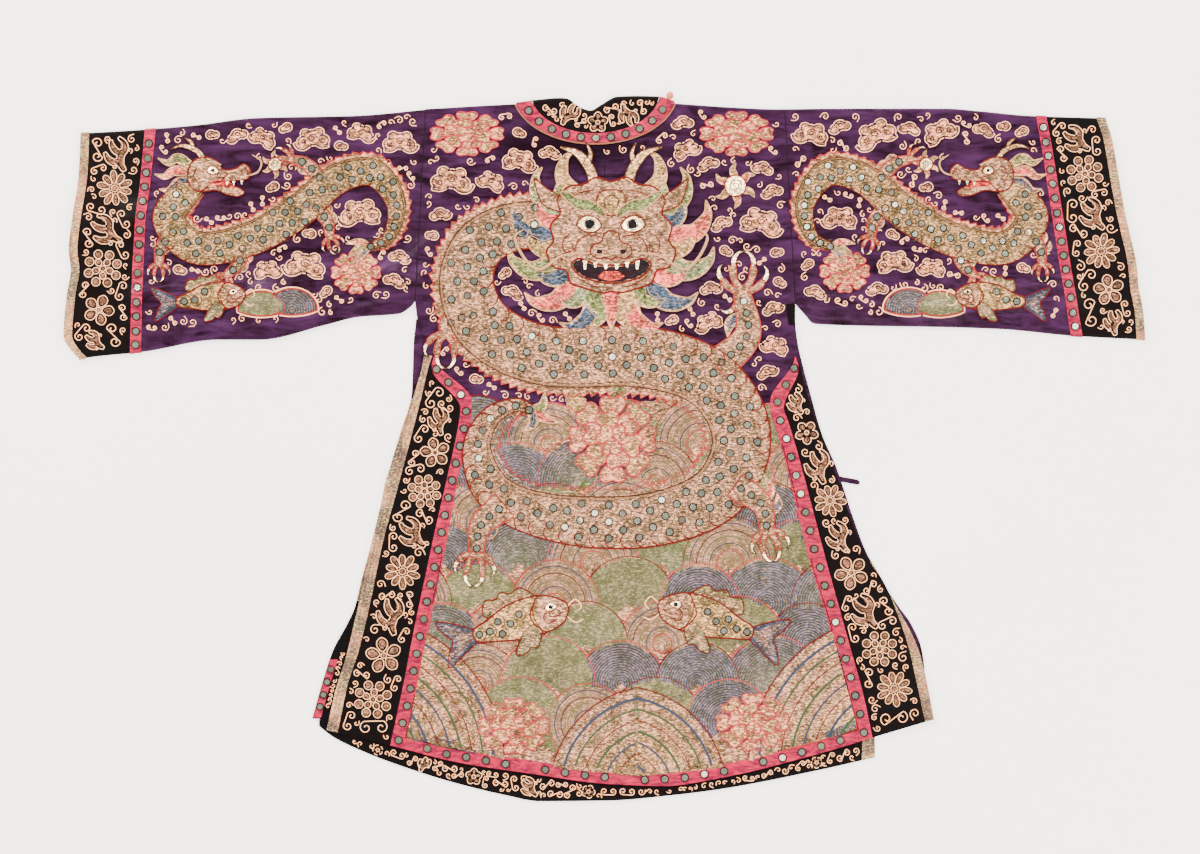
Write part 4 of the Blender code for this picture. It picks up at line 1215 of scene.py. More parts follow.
def spiralIn(across, up, turns=1.7, count=30, inner=0.12):
    t = np.linspace(0, 1, count)
    angle = t * turns * 2 * pi
    size = mix(0.78, inner, t)
    return asPath(across * size * np.cos(angle), up * size * np.sin(angle))


print("stitches ready")

fills = {name: Stitches(f"{name}_embroidery_fill", "couched", "couching")
         for name in ("back", "sleeve_left", "sleeve_right", "borders")}
cords = {name: Stitches(f"{name}_embroidery_cord", "cord", "silks")
         for name in ("back", "clouds", "sleeve_left", "sleeve_right", "border_left", "border_right",
                      "cuffs")}
waves = Stitches("back_waves_fill", "fans", "couching")
glass = Stitches("mirror_glass", "mirror", "mirror")
rims = Stitches("mirror_rims", "cord", "couching")


class Needlework:
    # the two pieces that motifs are sewn with: filled shapes and the cords round them
    def __init__(self, fill, cord, level="cloth"):
        self.fill, self.cord = fills[fill], cords[cord]
        self.fill.level = self.cord.level = level


def mirrorAt(x, y, level="cloth", lift=0.0, radius=4.9):
    # a round of glass held by a thick buttonholed rim; a few are painted white, a painted reflection of a
    # lamp
    count, turn = 14, rng.uniform(0, 6)
    t = roundAngles(count) + turn
    circle = asPath(np.cos(t), np.sin(t))
    tilt, lean = rng.uniform(0.0, 0.34), rng.uniform(0, 6.3)
    paintedShine = rng.random()
    # paintedShine picks the few mirrors whose glass gets the painted reflection: tone 0.93, shown plain
    # white
    tone = mix(0.5, 0.83, rng.random()) if paintedShine < 0.93 else 0.93
    glass.level = rims.level = level
    places = np.concatenate([circle * radius, [(0.0, 0.0)], circle * radius]) + (x, y)
    heights = lift + 0.75 + tilt * (np.append(np.cos(t - lean), 0.0))
    heights = np.concatenate([heights, np.full(count, lift - 0.1)])
    k = np.arange(count)
    after = (k + 1) % count
    top = np.stack([k, after, np.full(count, count)], 1)
    walls = np.stack([k, k + count + 1, after + count + 1, after], 1)
    glass.add(places, heights, (tone * 0.97, tone, tone * 0.78, 1.0), 0.0, walls, top)
    rim = "rim" if rng.random() < 0.85 else "rust"
    strand(rims, circle * (radius + 0.65) + (x, y), rim, 2.2, 1.35, lift, closed=True)


def alongPath(path, spacing, start=0.5):
    # places at even spacing along a path, with its direction there
    run = runAlong(path)
    parts = (*path.T, *np.gradient(path, axis=0).T)
    found = []
    for s in np.arange(start * spacing, run[-1], spacing):
        x, y, aheadX, aheadY = [np.interp(s, run, part) for part in parts]
        found.append((x, y, atan2(aheadY, aheadX)))
    return found


def ribbonMirrors():
    # rows of mirrors along the pink ribbons and the turned-up strip
    for side in sides:
        nominal = np.linspace(border["hemRow"] + 10, 128, 150)
        y = nominal.copy()
        for _ in range(6):
            x = (ribbonInner[side](y) + ribbonOuter[side](y)) / 2
            y = nominal + hemShift(nominal, x)
        path = asPath(x, y)
        for x, y, _ in alongPath(path, 26.5 if side == "left" else 28.5, 0.05):
            mirrorAt(x + rng.uniform(-0.7, 0.7), y, "border")
        y = np.linspace(140 if side == "left" else 168, 470 if side == "left" else 492, 60)
        x = (cuffRibbon[side](y) + cuffSeam[side](y)) / 2
        for x, y, _ in alongPath(asPath(x, y), 21.6, 0.6):
            mirrorAt(x, y + rng.uniform(-0.8, 0.8), "border")
    x = np.linspace(-292, 378, 200)
    for index, (x, y, _) in enumerate(alongPath(asPath(x, hemLine(x) + 10), 30.0, 0.9)):
        if index not in (5, 10, 16):
            mirrorAt(x, y + rng.uniform(-1, 1), "border")
    angles = np.linspace(collarEnds[0] + 7, collarEnds[1] - 7, 60)
    path = asPath(*arcPlace("middle", 0.0, angles))
    for x, y, _ in alongPath(path, runAlong(path)[-1] / 10.4, 0.2):
        mirrorAt(x, y, "border")
    for y in (-333, -352, -371, -389):
        mirrorAt(frontEdge["left"](y) + 7.0, y, "turned", 0.9, 4.2)


ribbonMirrors()


# flowers, leaves and scrolls of the black borders

def lineShape(path, halves):
    # the outline of a band that follows a path, from its half width along it
    return np.concatenate([offset(path, halves), offset(path, -np.asarray(halves))[::-1]])


def outward(outline, by):
    # a closed outline moved out, whichever way round it runs
    x, y = np.asarray(outline, float).T
    turn = np.sign((x * np.roll(y, -1) - y * np.roll(x, -1)).sum())
    return offset(outline, -by * turn, True)


def stretches(path, kept, least=2):
    # the parts of a path whose places are kept
    edges = np.flatnonzero(np.diff(np.concatenate([[False], kept, [False]]).astype(int)))
    return [path[a:b] for a, b in zip(edges[::2], edges[1::2]) if b - a > least]


def freeRuns(path, shapes):
    # the stretches of a closed path that lie outside some shapes
    free = np.ones(len(path), bool)
    for shape in shapes:
        free &= ~inside(shape, *path.T)
    if free.all():
        return [(path, True)]
    start = int(np.argmin(free))
    return [(run, False) for run in stretches(np.roll(path, -start, 0), np.roll(free, -start))]


def motif(work, shapes, dye="copper", gapWidth=1.9, cordWidth=1.5, lift=0.0, rise=0.75):
    # padded shapes with a dark gap round the whole and one pale cord outside that
    rings, by = [], gapWidth + cordWidth / 2
    for shape in shapes:
        ring = outward(shape, by)
        rings.append(evenly(ring[awayFrom(shape, *ring.T) > 0.94 * by], cordStep, True))
    for k, (shape, ring) in enumerate(zip(shapes, rings)):
        dome(work, shape, dye, lift + 0.02 * k, rise)
        for path, closed in freeRuns(ring, rings[:k] + rings[k + 1:]):
            strand(work, path, "cord", cordWidth, 0.6, lift, closed)


def fivePetals(work, x, y, size, angle=0.0):
    turns = angle + np.arange(5) * 2 * pi / 5
    motif(work, [petalShape(*placeAt(x, y, 0.3 * size, a), a, 0.56 * size, 0.43 * size, 18, 0.7)
                 for a in turns])
    motif(work, [ellipse(x, y, 0.08 * size, 0.08 * size, 0.0, 12)], gapWidth=1.3, cordWidth=1.3, lift=0.2)
    markDisc(x, y, size + 1)


def longPetals(work, x, y, size, angle=0.0, count=10):
    turns = angle + np.arange(count) * 2 * pi / count
    motif(work, [petalShape(*placeAt(x, y, 0.34 * size, a), a, size * (0.50 if k % 2 else 0.58), 0.20 * size,
                            14, 0.3) for k, a in enumerate(turns)], gapWidth=1.4, cordWidth=1.3)
    motif(work, [ellipse(x, y, 0.12 * size, 0.12 * size, 0.0, 12)], gapWidth=1.2, cordWidth=1.2, lift=0.4)
    markDisc(x, y, size + 1)


def ringPeony(work, x, y, size, angle=0.0):
    for count, away, wide, high in ((8, 0.78, 0.155, 0.15), (5, 0.38, 0.11, 0.095), (1, 0.0, 0.08, 0.08)):
        turns = angle + (np.arange(count) + 0.5 * (count == 5)) * 2 * pi / count
        motif(work, [ellipse(*placeAt(x, y, away * size, a), wide * size, high * size, a, 14)
                     for a in turns], gapWidth=1.4, cordWidth=1.4)
    markDisc(x, y, size + 1)


leafLobes = (
    # places along each lobe as parts of the leaf's size, then the half width where it is broadest
    ((-0.90, -0.62), (-0.58, -0.30), (-0.06, -0.16), (0.42, -0.30), (0.78, -0.12), (0.98, 0.28), 0.15),
    ((-0.44, -0.24), (-0.62, 0.10), (-0.54, 0.52), (-0.22, 0.86), 0.13),
    ((0.06, -0.16), (0.10, 0.22), (0.34, 0.56), (0.66, 0.74), 0.12),
)


def leafSpray(work, x, y, size, angle=0.0, flip=False):
    # a leaf of long bent lobes on one stem, with one cord round them all
    shapes = []
    for *places, half in leafLobes:
        path = smooth(places, 0.09)
        halves = halvesAlong(path, half, (0, 0.3, 0.6, 1), (0.5, 1, 0.85, 0.1))
        shapes.append(turned(lineShape(path, halves), x, y, size * 1.06, angle, flip))
    motif(work, shapes, gapWidth=1.3, cordWidth=1.5, rise=0.45)
    for k, (places, start) in enumerate((((-0.92, 0.04), 0.2), ((0.44, -0.66), 3.6))):
        a, b = turned([places], x, y, size, angle, flip)[0]
        strand(work, snail(a, b, size * 0.2, start + angle, 1.0 if k else -1.0), "cord", 1.5, 0.6, twin=True)
    markDisc(x, y, size * 0.95)


flowers = {"five": fivePetals, "long": longPetals, "ring": ringPeony, "leaf": leafSpray}


def allowedDisc(allowed, x, y, radius):
    cells = cellsOf(x - radius, y - radius, x + radius, y + radius)
    disc = np.hypot(cellX[cells] - x, cellY[cells] - y) < radius
    return disc.any() and not (disc & (taken[cells] | ~allowed[cells])).any()


def scatter(allowed, plan, draw):
    # fills what is free of a region, larger motifs first; plan gives radius, clearance and tries
    ys, xs = np.nonzero(allowed)
    if not len(xs):
        return
    for radius, clear, tries in plan:
        for _ in range(tries):
            k = rng.randrange(len(xs))
            x = room["x"] + room["cell"] * (xs[k] + rng.random())
            y = room["y"] + room["cell"] * (ys[k] + rng.random())
            if allowedDisc(allowed, x, y, radius + clear):
                draw(x, y, radius)
                markDisc(x, y, radius + clear * 0.5)


def snail(x, y, radius, start, turns, count=26):
    # a spiral that winds inwards from its rim, anticlockwise where turns is above zero
    t = np.linspace(0, 1, count)
    angle, size = start + turns * 2 * pi * t, radius * mix(1.0, 0.2, t ** 0.9)
    return asPath(x + size * np.cos(angle), y + size * np.sin(angle))


def snailPair(radius, kind):
    # two spirals joined by one cord, bending the same way or opposite ways
    away = radius * 1.12
    first = snail(-away, 0, radius, pi / 2, 1.2)[::-1]
    if kind == "cee":
        second = snail(away, 0, radius, pi / 2, -1.2)
    else:
        second = snail(away, 0, radius, -pi / 2, 1.2)
    return evenly(np.concatenate([first[:-1], second[1:]]), cordStep)


def scatterPairs(work, allowed, plan):
    ys, xs = np.nonzero(allowed)
    for radius, clear, tries in plan:
        for _ in range(tries):
            k, angle = rng.randrange(len(xs)), rng.uniform(0, pi)
            x, y = room["x"] + room["cell"] * xs[k], room["y"] + room["cell"] * ys[k]
            ends = turned([(-radius * 1.12, 0), (radius * 1.12, 0)], x, y, 1.0, angle)
            if all(allowedDisc(allowed, *end, radius + clear) for end in ends):
                path = snailPair(radius, rng.choice(("cee", "ess")))
                strand(work, turned(path, x, y, 1.0, angle, rng.random() < 0.5), "cord", 1.6, 0.6, twin=True)
                for end in ends:
                    markDisc(*end, radius + clear * 0.5)


def drawCurl(work):
    def draw(x, y, radius):
        start, way = rng.uniform(0, 6.3), rng.choice((-1, 1))
        path = snail(x, y, radius, start, way * (1.25 if radius > 5 else 0.95))
        tail = path[0] + radius * 0.5 * np.array([[cos(start - way * 1.2), sin(start - way * 1.2)]])
        strand(work, evenly(np.concatenate([tail, path]), cordStep), "cord", 1.5, 0.6, twin=True)
    return draw


def bandRegion(side):
    ys = cellY
    left = np.minimum(ribbonOuter[side](ys), braidInner[side](ys))
    right = np.maximum(ribbonOuter[side](ys), braidInner[side](ys))
    low = hemLine(cellX) + 5
    return (cellX > left + 2.5) & (cellX < right - 2.5) & (ys > low) & (ys < 112)


def cuffRegion(side):
    low, high = (cuffEnd, cuffSeam) if side == "left" else (cuffSeam, cuffEnd)
    trimmed = border["cuffBraid"] + 3
    left = low[side](cellY) + (trimmed if side == "left" else 4)
    right = high[side](cellY) - (4 if side == "left" else trimmed)
    return ((cellX > left) & (cellX < right) & (cellY > sleeveBottom[side](cellX) + 8)
            & (cellY < sleeveTop[side](cellX) - 5))


bandFlowers = {
    "left": ((-247, 40, 19, "leaf"), (-254, -8, 25, "five"), (-270, -66, 27, "ring"),
             (-287, -128, 24, "leaf"), (-303, -186, 30, "long"), (-318, -252, 26, "leaf"),
             (-331, -312, 31, "five"), (-347, -378, 31, "ring")),
    "right": ((288, 66, 15, "leaf"), (303, 22, 19, "five"), (322, -28, 24, "leaf"), (338, -80, 27, "long"),
              (352, -134, 22, "leaf"), (370, -188, 29, "five"), (392, -246, 26, "leaf"),
              (412, -302, 29, "ring"), (434, -362, 30, "long")),
}
cuffFlowers = {
    "left": ((-728, 440, 24, "leaf"), (-734, 388, 30, "long"), (-746, 326, 25, "leaf"),
             (-752, 268, 31, "ring"), (-758, 206, 26, "five"), (-764, 160, 15, "leaf")),
    "right": ((708, 462, 22, "leaf"), (720, 410, 30, "ring"), (733, 350, 24, "leaf"), (744, 294, 30, "long"),
              (756, 236, 26, "five"), (764, 188, 17, "leaf")),
}
bandPairs = ((10.4, 1.5, 2500), (8.8, 1.4, 3500), (7.2, 1.3, 4000), (6.0, 1.3, 3000))
bandCurls = ((8.2, 1.4, 1800), (6.6, 1.3, 2500), (5.2, 1.2, 3000), (4.4, 1.2, 2000))


def makeBorders():
    for side in sides:
        parts = ((f"border_{side}", "border", bandFlowers, bandRegion),
                 ("cuffs", "cloth", cuffFlowers, cuffRegion))
        for cord, level, rows, _ in parts:
            work = Needlework("borders", cord, level)
            for x, y, size, kind in rows[side]:
                turn = rng.uniform(-0.5, 0.5) + (1.4 if kind == "leaf" else 0.0)
                flowers[kind](work, x, y, size * 0.92, turn)
        for cord, level, _, region in parts:
            work, allowed = Needlework("borders", cord, level), region(side)
            scatterPairs(work, allowed, bandPairs)
            scatter(allowed, bandCurls, drawCurl(work))


def makeHemAndCollar():
    work = Needlework("borders", "cuffs", "turned")
    front, back = frontHemLine(cellX), hemLine(cellX)
    allowed = (cellY > front + 4) & (cellY < back - 3) & (cellX > -400) & (cellX < 384)
    for k, x in enumerate((-340, -270, -196, -112, -24, 66, 150, 240, 318)):
        y, deep = float(frontHemLine(x) + hemLine(x)) / 2, float(hemLine(x) - frontHemLine(x))
        size = min(deep / 2 - 5.5, 13.0)
        if size > 5:
            flowers["leaf" if k % 2 else "five"](work, x, y, size, rng.uniform(0, 6))
    scatterPairs(work, allowed, ((5.6, 0.9, 1500), (4.4, 0.8, 1500)))
    scatter(allowed, ((5.6, 0.8, 900), (4.4, 0.6, 1200), (3.4, 0.5, 1000)), drawCurl(work))
    edge, near = frontEdge["left"](cellY), backEdge["left"](cellY)
    allowed = (cellX > edge + 14) & (cellX < near - 2) & (cellY > -396) & (cellY < -240)
    scatter(allowed, ((4.0, 0.2, 900), (3.2, 0.2, 1200)), drawCurl(work))
    work = Needlework("borders", "cuffs", "border")
    fivePetals(work, -10, 487, 15, 0.3)
    leafSpray(work, -52, 499, 15, 0.3)
    leafSpray(work, 36, 498, 15, 2.7, True)
    away = np.hypot((cellX - collarArc["x"]) / (collarArc["innerX"] - 4), (cellY - collarArc["y"])
                    / (collarArc["innerY"] - 4))
    allowed = (away < 1) & (cellY < collarTop(cellX) - 6)
    scatterPairs(work, allowed, ((5.6, 0.8, 900), (4.6, 0.7, 900)))
    scatter(allowed, ((5.6, 0.8, 500), (4.2, 0.6, 600), (3.2, 0.5, 500)), drawCurl(work))


makeBorders()
makeHemAndCollar()
print("borders stitched")


# water, dragons, carp, peonies and clouds of the purple ground

def edged(base, rim, wide=3.0):
    # a dye that changes towards the rim of a shape
    return lambda x, y, away: blend(rim, base, np.clip(away / wide, 0, 1))


def stitched(work, outline, dye, cordDye, lift, rise=0.8, width=2.0, step=5.0, rim=5.0):
    fillShape(work, outline, dye, lift, rise, step, None, rim)
    strand(work, outline, cordDye, width, 0.8, lift, closed=True)


def frameAt(x, y, size=1.0, angle=0.0, flip=False):
    # turns the few points of a motif drawn about its own middle into round outlines and lines
    def shape(points, step=3.0):
        return turned(smooth(np.asarray(points, float) * size, step, True), x, y, 1.0, angle, flip)

    def line(points, step=2.6):
        return turned(smooth(np.asarray(points, float) * size, step), x, y, 1.0, angle, flip)
    return shape, line


def bothSides(points):
    # a symmetric outline from its right half, top to bottom
    right = np.asarray(points, float)
    return np.concatenate([right, (right[right[:, 0] > 0] * (-1, 1))[::-1]])


def lock(work, points, width, dye, lift, rim="cream", rise=0.8, thin=1.5):
    # a flame or hair lock that tapers to a point
    path = smooth(points, 3.0)
    halves = halvesAlong(path, width / 2, (0, 0.32, 0.7, 1), (0.62, 1.0, 0.62, 0.04))
    shape = lineShape(path, halves)
    fillShape(work, shape, edged(dye, rim, 2.2), lift, rise, 5.0, None, 4.5)
    strand(work, shape, rim, thin, 0.7, lift, closed=True)
    vein = path[2:int(len(path) * 0.8)]
    strand(work, vein, blend(dye, rim, 0.55)[0], 1.1, 0.45, lift + rise * 0.8)


def foot(work, x, y, heading, size, lift):
    # four spread toes and one behind them, with long hooked claws, and a round palm over their roots
    for turn, reach in ((-1.0, 0.95), (-0.32, 1.15), (0.36, 1.15), (1.05, 0.95), (2.7, 0.75)):
        bend = 1.0 if turn < 0 else -1.0

        def places(rows):
            return turned(smooth(np.array(rows) * (1, bend) * size * reach, 2.2), x, y, 1.0, heading + turn)
        claw = places([(0.80, -0.02), (1.02, 0.06), (1.16, 0.26), (1.14, 0.50)])
        shape = lineShape(claw, halvesAlong(claw, size * 0.085, (0, 0.3, 1), (0.9, 1.0, 0.06)))
        fillShape(work, shape, "white", lift - 0.2, 0.7, 5.0, None, 2.0)
        strand(work, shape, "rust", 0.9, 0.5, lift - 0.2, closed=True)
        toe = places([(0, 0), (0.36, -0.1), (0.66, -0.08), (0.90, 0.02)])
        halves = halvesAlong(toe, size * 0.115, (0, 0.45, 0.8, 1), (1.25, 0.9, 1.15, 0.5))
        stitched(work, lineShape(toe, halves), "rose", "coral", lift + 0.1, 0.7, 1.3, 5.0, 2.6)
    dome(work, ellipse(x, y, size * 0.27, size * 0.24, heading, 18), "rose", lift + 0.45, 0.7)


placed = []  # middles of the mirrors on bodies
coverGap = 8  # least distance from a mirror to a shape that lies over a body


def mirrorsOver(work, path, halves, lift, spacing, covers, radius, margin):
    # mirrors in brick rows along a body, each in a scale of thin cord
    run, parts = runAlong(path), (*path.T, *normals(path).T, *np.gradient(path, axis=0).T)
    for row, s in enumerate(np.arange(spacing * 0.5, run[-1], spacing * 0.86)):
        x, y, sideX, sideY, aheadX, aheadY = [np.interp(s, run, part) for part in parts]
        reach = max(float(np.interp(s, run, halves)) - margin, 0.0)
        count = max(int(2 * reach / spacing) + (1 if row % 2 else 0), 1)
        for k in range(count):
            aside = (k - (count - 1) / 2) * spacing
            place = np.array([x + sideX * aside, y + sideY * aside])
            if any(np.hypot(*(place - other)) < spacing * 0.74 for other in placed):
                continue
            if any(inside(cover, place[:1], place[1:])[0]
                   or awayFrom(cover, place[:1], place[1:])[0] < coverGap for cover in covers):
                continue
            placed.append(place)
            mirrorAt(*place, "cloth", lift + 0.45, radius)
            angle = atan2(aheadY, aheadX) + np.linspace(1.75, 4.53, 8)
            arc = place + spacing * 0.54 * asPath(np.cos(angle), np.sin(angle))
            strand(work, arc, "olive", 1.2, 0.5, lift + 0.72)


def fin(work, edge, back, deep, lift):
    # a comb of leaning teeth on the outside of a body
    run, tooth, fade = runAlong(edge), 13.0, 45.0
    part = (run / tooth) % 1
    ends = np.clip(np.minimum(run, run[-1] - run) / fade, 0.05, 1)
    outer = offset(edge, back * (deep * (0.42 + 0.58 * (1 - part) ** 1.4) * ends))
    shape = np.concatenate([edge, outer[::-1]])
    fillShape(work, shape, edged("rose", "beige", 3.0), lift, 0.5, 6.0, None, 4.0)
    strand(work, outer, "coral", 1.7, 0.7, lift)


def dragonBody(work, points, widths, lift, back, covers, spacing=25.0, deep=15.0, radius=4.9, thick=1.0,
               dye="rose"):
    # a long body with a finned spine on one side, cords, red belly plates and mirrors for scales
    path = smooth(points, 2.6)
    halves = halvesAlong(path, 1, *zip(*widths))
    spine, belly = offset(path, back * halves), offset(path, -back * halves)
    fin(work, spine, back, deep, lift - 0.9)
    shape = np.concatenate([spine[::2], belly[::2][::-1]])
    fillShape(work, shape, dye, lift, 0.9, 6.0, None, 8.0)
    for by, cordDye, wide in ((2.6, "rust", 1.9), (5.2, "gold", 2.1), (7.8, "rust", 1.3)):
        line = offset(path, back * (halves - by * thick))
        strand(work, line, cordDye, wide * thick, 0.9, lift + 0.25)
    strand(work, belly, "red", 2.4 * thick, 0.9, lift)
    plate = np.array([(0, 0), (7, 6), (9, 14), (4, 22)]) * (thick, thick * back)
    for x, y, angle in alongPath(belly, 24.0 * thick, 0.6):
        strand(work, turned(smooth(plate, 2.6), x, y, 1.0, angle), "red", 2.0 * thick, 0.8, lift + 0.5)
    mirrorsOver(work, path, halves, lift, spacing, covers, radius, 11.0 * thick)


def leg(work, points, width, size, heading, lift, covers=()):
    # a short leg with three small flames behind it; it ends in a foot
    path = smooth(points, 3.0)
    foot(work, *path[-1], heading, size, lift + 0.1)
    halves = halvesAlong(path, width / 2, (0, 0.5, 1), (1.25, 0.95, 0.6))
    stitched(work, lineShape(path, halves), "rose", "coral", lift + 0.35, 0.8, 2.0)
    mirrorsOver(work, path, halves, lift + 0.3, 21.0, covers, 4.6, width * 0.42)
    for by, dye in ((0.3, "sage"), (0.5, "blossom"), (0.7, "blue")):
        x, y = path[int(len(path) * by)]
        out = heading + (2.2 if by < 0.6 else 1.9)
        reach = width * (0.9 - by * 0.4)
        tip = [(x, y), placeAt(x, y, reach, out), placeAt(x, y, 1.6 * reach, out + 0.5)]
        lock(work, tip, width * 0.5, dye, lift - 0.3, "cream", 0.6, 1.3)


petals = (
    # count, start, reach and width of each ring, as parts of the flower's size
    (8, 0.52, 0.46, 0.60), (6, 0.20, 0.46, 0.54), (3, -0.04, 0.40, 0.46),
)


def peony(work, x, y, size, lift=1.0, flat=1.0):
    # rings of lobed petals, each ring above the last
    for ring, (count, start, reach, wide) in enumerate(petals[:3 if size > 30 else 2]):
        for k in range(count):
            a = (k + 0.5 * (ring % 2)) * 2 * pi / count + 0.25 * ring
            shape = petalShape(0, 0, 0.0, reach * size, wide * size, 22, 0.12)
            outer = shape[:, 0] > reach * size * 0.55
            shape[:, 0] += start * size - 0.05 * size * outer * np.cos(shape[:, 1] / (wide * size) * 9.0)
            shape = turned(shape, 0, 0, 1.0, a) * (1, flat) + (x, y)
            height = lift + 0.62 * ring + 0.14 * (k % 3)
            dome(work, shape, blend("beige", "gold", 0.6 * (k % 2))[0], height, 0.62)
            strand(work, evenly(shape, 2.6, True), "pink", 1.1 + size / 75, 0.6, height, closed=True)
    markShape(ellipse(x, y, size * 0.98, size * 0.98 * flat, 0.0, 28), 3.0)


def leafAt(work, x, y, angle, size, lift, dye):
    # a peony leaf with a toothed edge
    t = np.linspace(0, 1, 22)
    width = size * 0.34 * np.sin(np.pi * np.clip(t * 0.96 + 0.03, 0, 1)) ** 0.7
    width = width * (1 - 0.28 * ((t * 5) % 1))
    middle = turned(asPath(t * size, 0.08 * size * np.sin(t * 3)), x, y, 1.0, angle)
    stitched(work, lineShape(middle, width + 0.3), dye, "cream", lift, 0.6, 1.5, 5.0, 3.0)
    strand(work, middle[2:-3], "olive", 1.1, 0.4, lift + 0.55)


# the water at the hem: hills of laid thread and the striped arcs under them

def onGround(points, low=14.0, half=0, under=3.0):
    # keeps places between the pink ribbons, above the hem's and, if asked, on one side of the middle
    x, y = np.asarray(points, float).T
    if half:
        x = half * np.maximum(half * x, half * centreSeam(y) - 0.3)
    y = np.maximum(y, hemLine(x) + low)
    x = np.clip(x, ribbonInner["left"](y) - under, ribbonInner["right"](y) + under)
    return asPath(x, np.maximum(y, hemLine(x) + low))


def swell(x, y):
    # rows of thread that rise and fall a little across the ground
    return y + 9 * np.sin(x / 34.0)


def laidLines(work, x, y, radii, start, end, stripes, lift, half=0):
    # arcs of coloured stripes about one place, only where the ground is
    for k, radius in enumerate(radii):
        dye, width = stripes[k % len(stripes)]
        angle = np.linspace(start, end, max(int(radius * abs(end - start) / 3.2), 4))
        path = asPath(x + radius * np.cos(angle), y + radius * np.sin(angle))
        kept = np.hypot(*(onGround(path, 20.0, half) - path).T) < 0.2
        for run in stretches(path, kept, 3):
            strand(work, run, dye, width, 0.5, lift)


def fan(work, x, y, inner, outer, start, end, first, second, lift=0.4, half=0):
    # a hill or a wave: rows of thread about one middle
    angle = np.radians(np.linspace(start, end, max(int(outer * radians(end - start) / 5), 6)))
    ring = asPath(np.cos(angle), np.sin(angle))
    shape = onGround(np.concatenate([outer * ring, inner * ring[::-1]]) + (x, y), 14.0, half)

    def dye(px, py, away):
        part = np.clip((np.hypot(px - x, py - y) - inner) / max(outer - inner, 1), 0, 1)
        return blend(second, first, 0.45 + 0.55 * part)
    fillShape(work, shape, dye, lift, 0.5, 6.0, lambda px, py: np.hypot(px - x, py - y), 2.5)


hillTones = (
    # threads of the crest and of the foot
    ("sage", "jade"), ("steel", "blue"), ("rose", "gold"), ("sage", "olive"), ("steel", "jade"),
    ("rose", "gold"), ("blue", "steel"),
)
hillLines = ("blue", "rust", "sage", "blue", "coral")
stripes = (("red", 1.9), ("blue", 4.6), ("green", 3.4), ("red", 1.9), ("green", 4.2), ("blue", 3.4))
hemArcs = (
    # middle, radius, angles, the half of the hem it keeps to, extra height
    (-372, -474, 222, 50, 0.0, 80.0, 0, 0.0), (438, -474, 222, 50, 100.0, 180.0, 0, 0.0),
    (76, -516, 158, 20, 90.0, 180.0, -1, 0.1), (24, -516, 158, 20, 0.0, 90.0, 1, 0.1),
)
bandLift = 1.35  # height of the striped water over the hills


def makeHills():
    # rows of round hills, each row over the feet of the one behind it
    discs = []
    for row in range(8):
        y = 6 - 60 * row
        for column in range(-3, 5):
            x = 30 + 108 * (column + 0.5 * (row % 2)) + 7 * sin(5.1 * row + column)
            outer = 66 + 6 * sin(3.7 * row + 2.3 * column)
            if x + outer < ribbonInner["left"](y) or x - outer > ribbonInner["right"](y):
                continue
            tones = hillTones[(2 * row + 5 * column + row // 2) % len(hillTones)]
            rim = ("coral", "red", "pink")[(row + column) % 3]
            height = 0.2 + 0.11 * row + 0.05 * (column % 2)
            discs.append((height, x, y, outer, rim, tones[0] == "rose"))
            fan(waves, x, y, 0, outer, -42, 222, *tones, height)
    return sorted(discs)


def makeWater(loop):
    # hills of water inside and below the dragon's loop, and striped water along the hem
    work = Needlework("back", "back")
    ys = np.linspace(22, -440, 60)
    xs = np.linspace(370, -285, 90)
    right = asPath(ribbonInner["right"](ys) + 8, ys)
    hem = asPath(xs, hemLine(xs) + 9.0)
    left = asPath(ribbonInner["left"](ys) - 8, ys + 10)[::-1]
    ground = onGround(evenly(np.concatenate([loop, right, hem, left]), 7.0, True), 8.0, 0, 8.0)
    fillShape(work, ground, "rose", -0.1, 0.4, 9.0, swell, 3.0)
    discs = makeHills()
    for k, (height, x, y, outer, rim, lined) in enumerate(discs):
        above = [ellipse(a, b, far, far, 0.0, 60) for _, a, b, far, _, _ in discs[k + 1:]
                 if hypot(a - x, b - y) < outer + far]
        low, lowest = y - 0.66 * outer, y - outer - 2
        west, east = x - outer, x + outer
        above.append(np.array([(west, low), (east, low), (east, lowest), (west, lowest)]))
        lines = [(outer, rim, 2.0, 0.1)]
        if lined:
            lines += [(outer - 10 * (n + 1), dye, 1.6, 0.45) for n, dye in enumerate(hillLines)]
        for radius, dye, width, lift in lines:
            arc = onGround(evenly(ellipse(x, y, radius, radius, 0.0, 60), 3.1, True), 19.0)
            for path, closed in freeRuns(arc, above):
                strand(work, path, dye, width, 0.55, height + lift, closed)
    for x, y, outer, inner, start, end, half, lift in hemArcs:
        fan(work, x, y, 0, outer, start, end, "rose", "gold", bandLift + lift, half)
        laidLines(work, x, y, range(outer, inner, -16), radians(start), radians(end), stripes,
                  bandLift + 0.35 + lift, half)
    for x, y, size in ((-136, -418, 54), (222, -412, 56)):
        peony(work, x, y, size, bandLift + 0.5, 0.78)


def ray(work, shape, root, count, dye, lift):
    # thin cords from the root of a fin to its rim
    for tip in shape[::max(len(shape) // count, 1)]:
        path = evenly([mix(np.array(root), tip, 0.25), mix(np.array(root), tip, 0.9)], 4.0)
        strand(work, path, dye, 1.1, 0.45, lift)


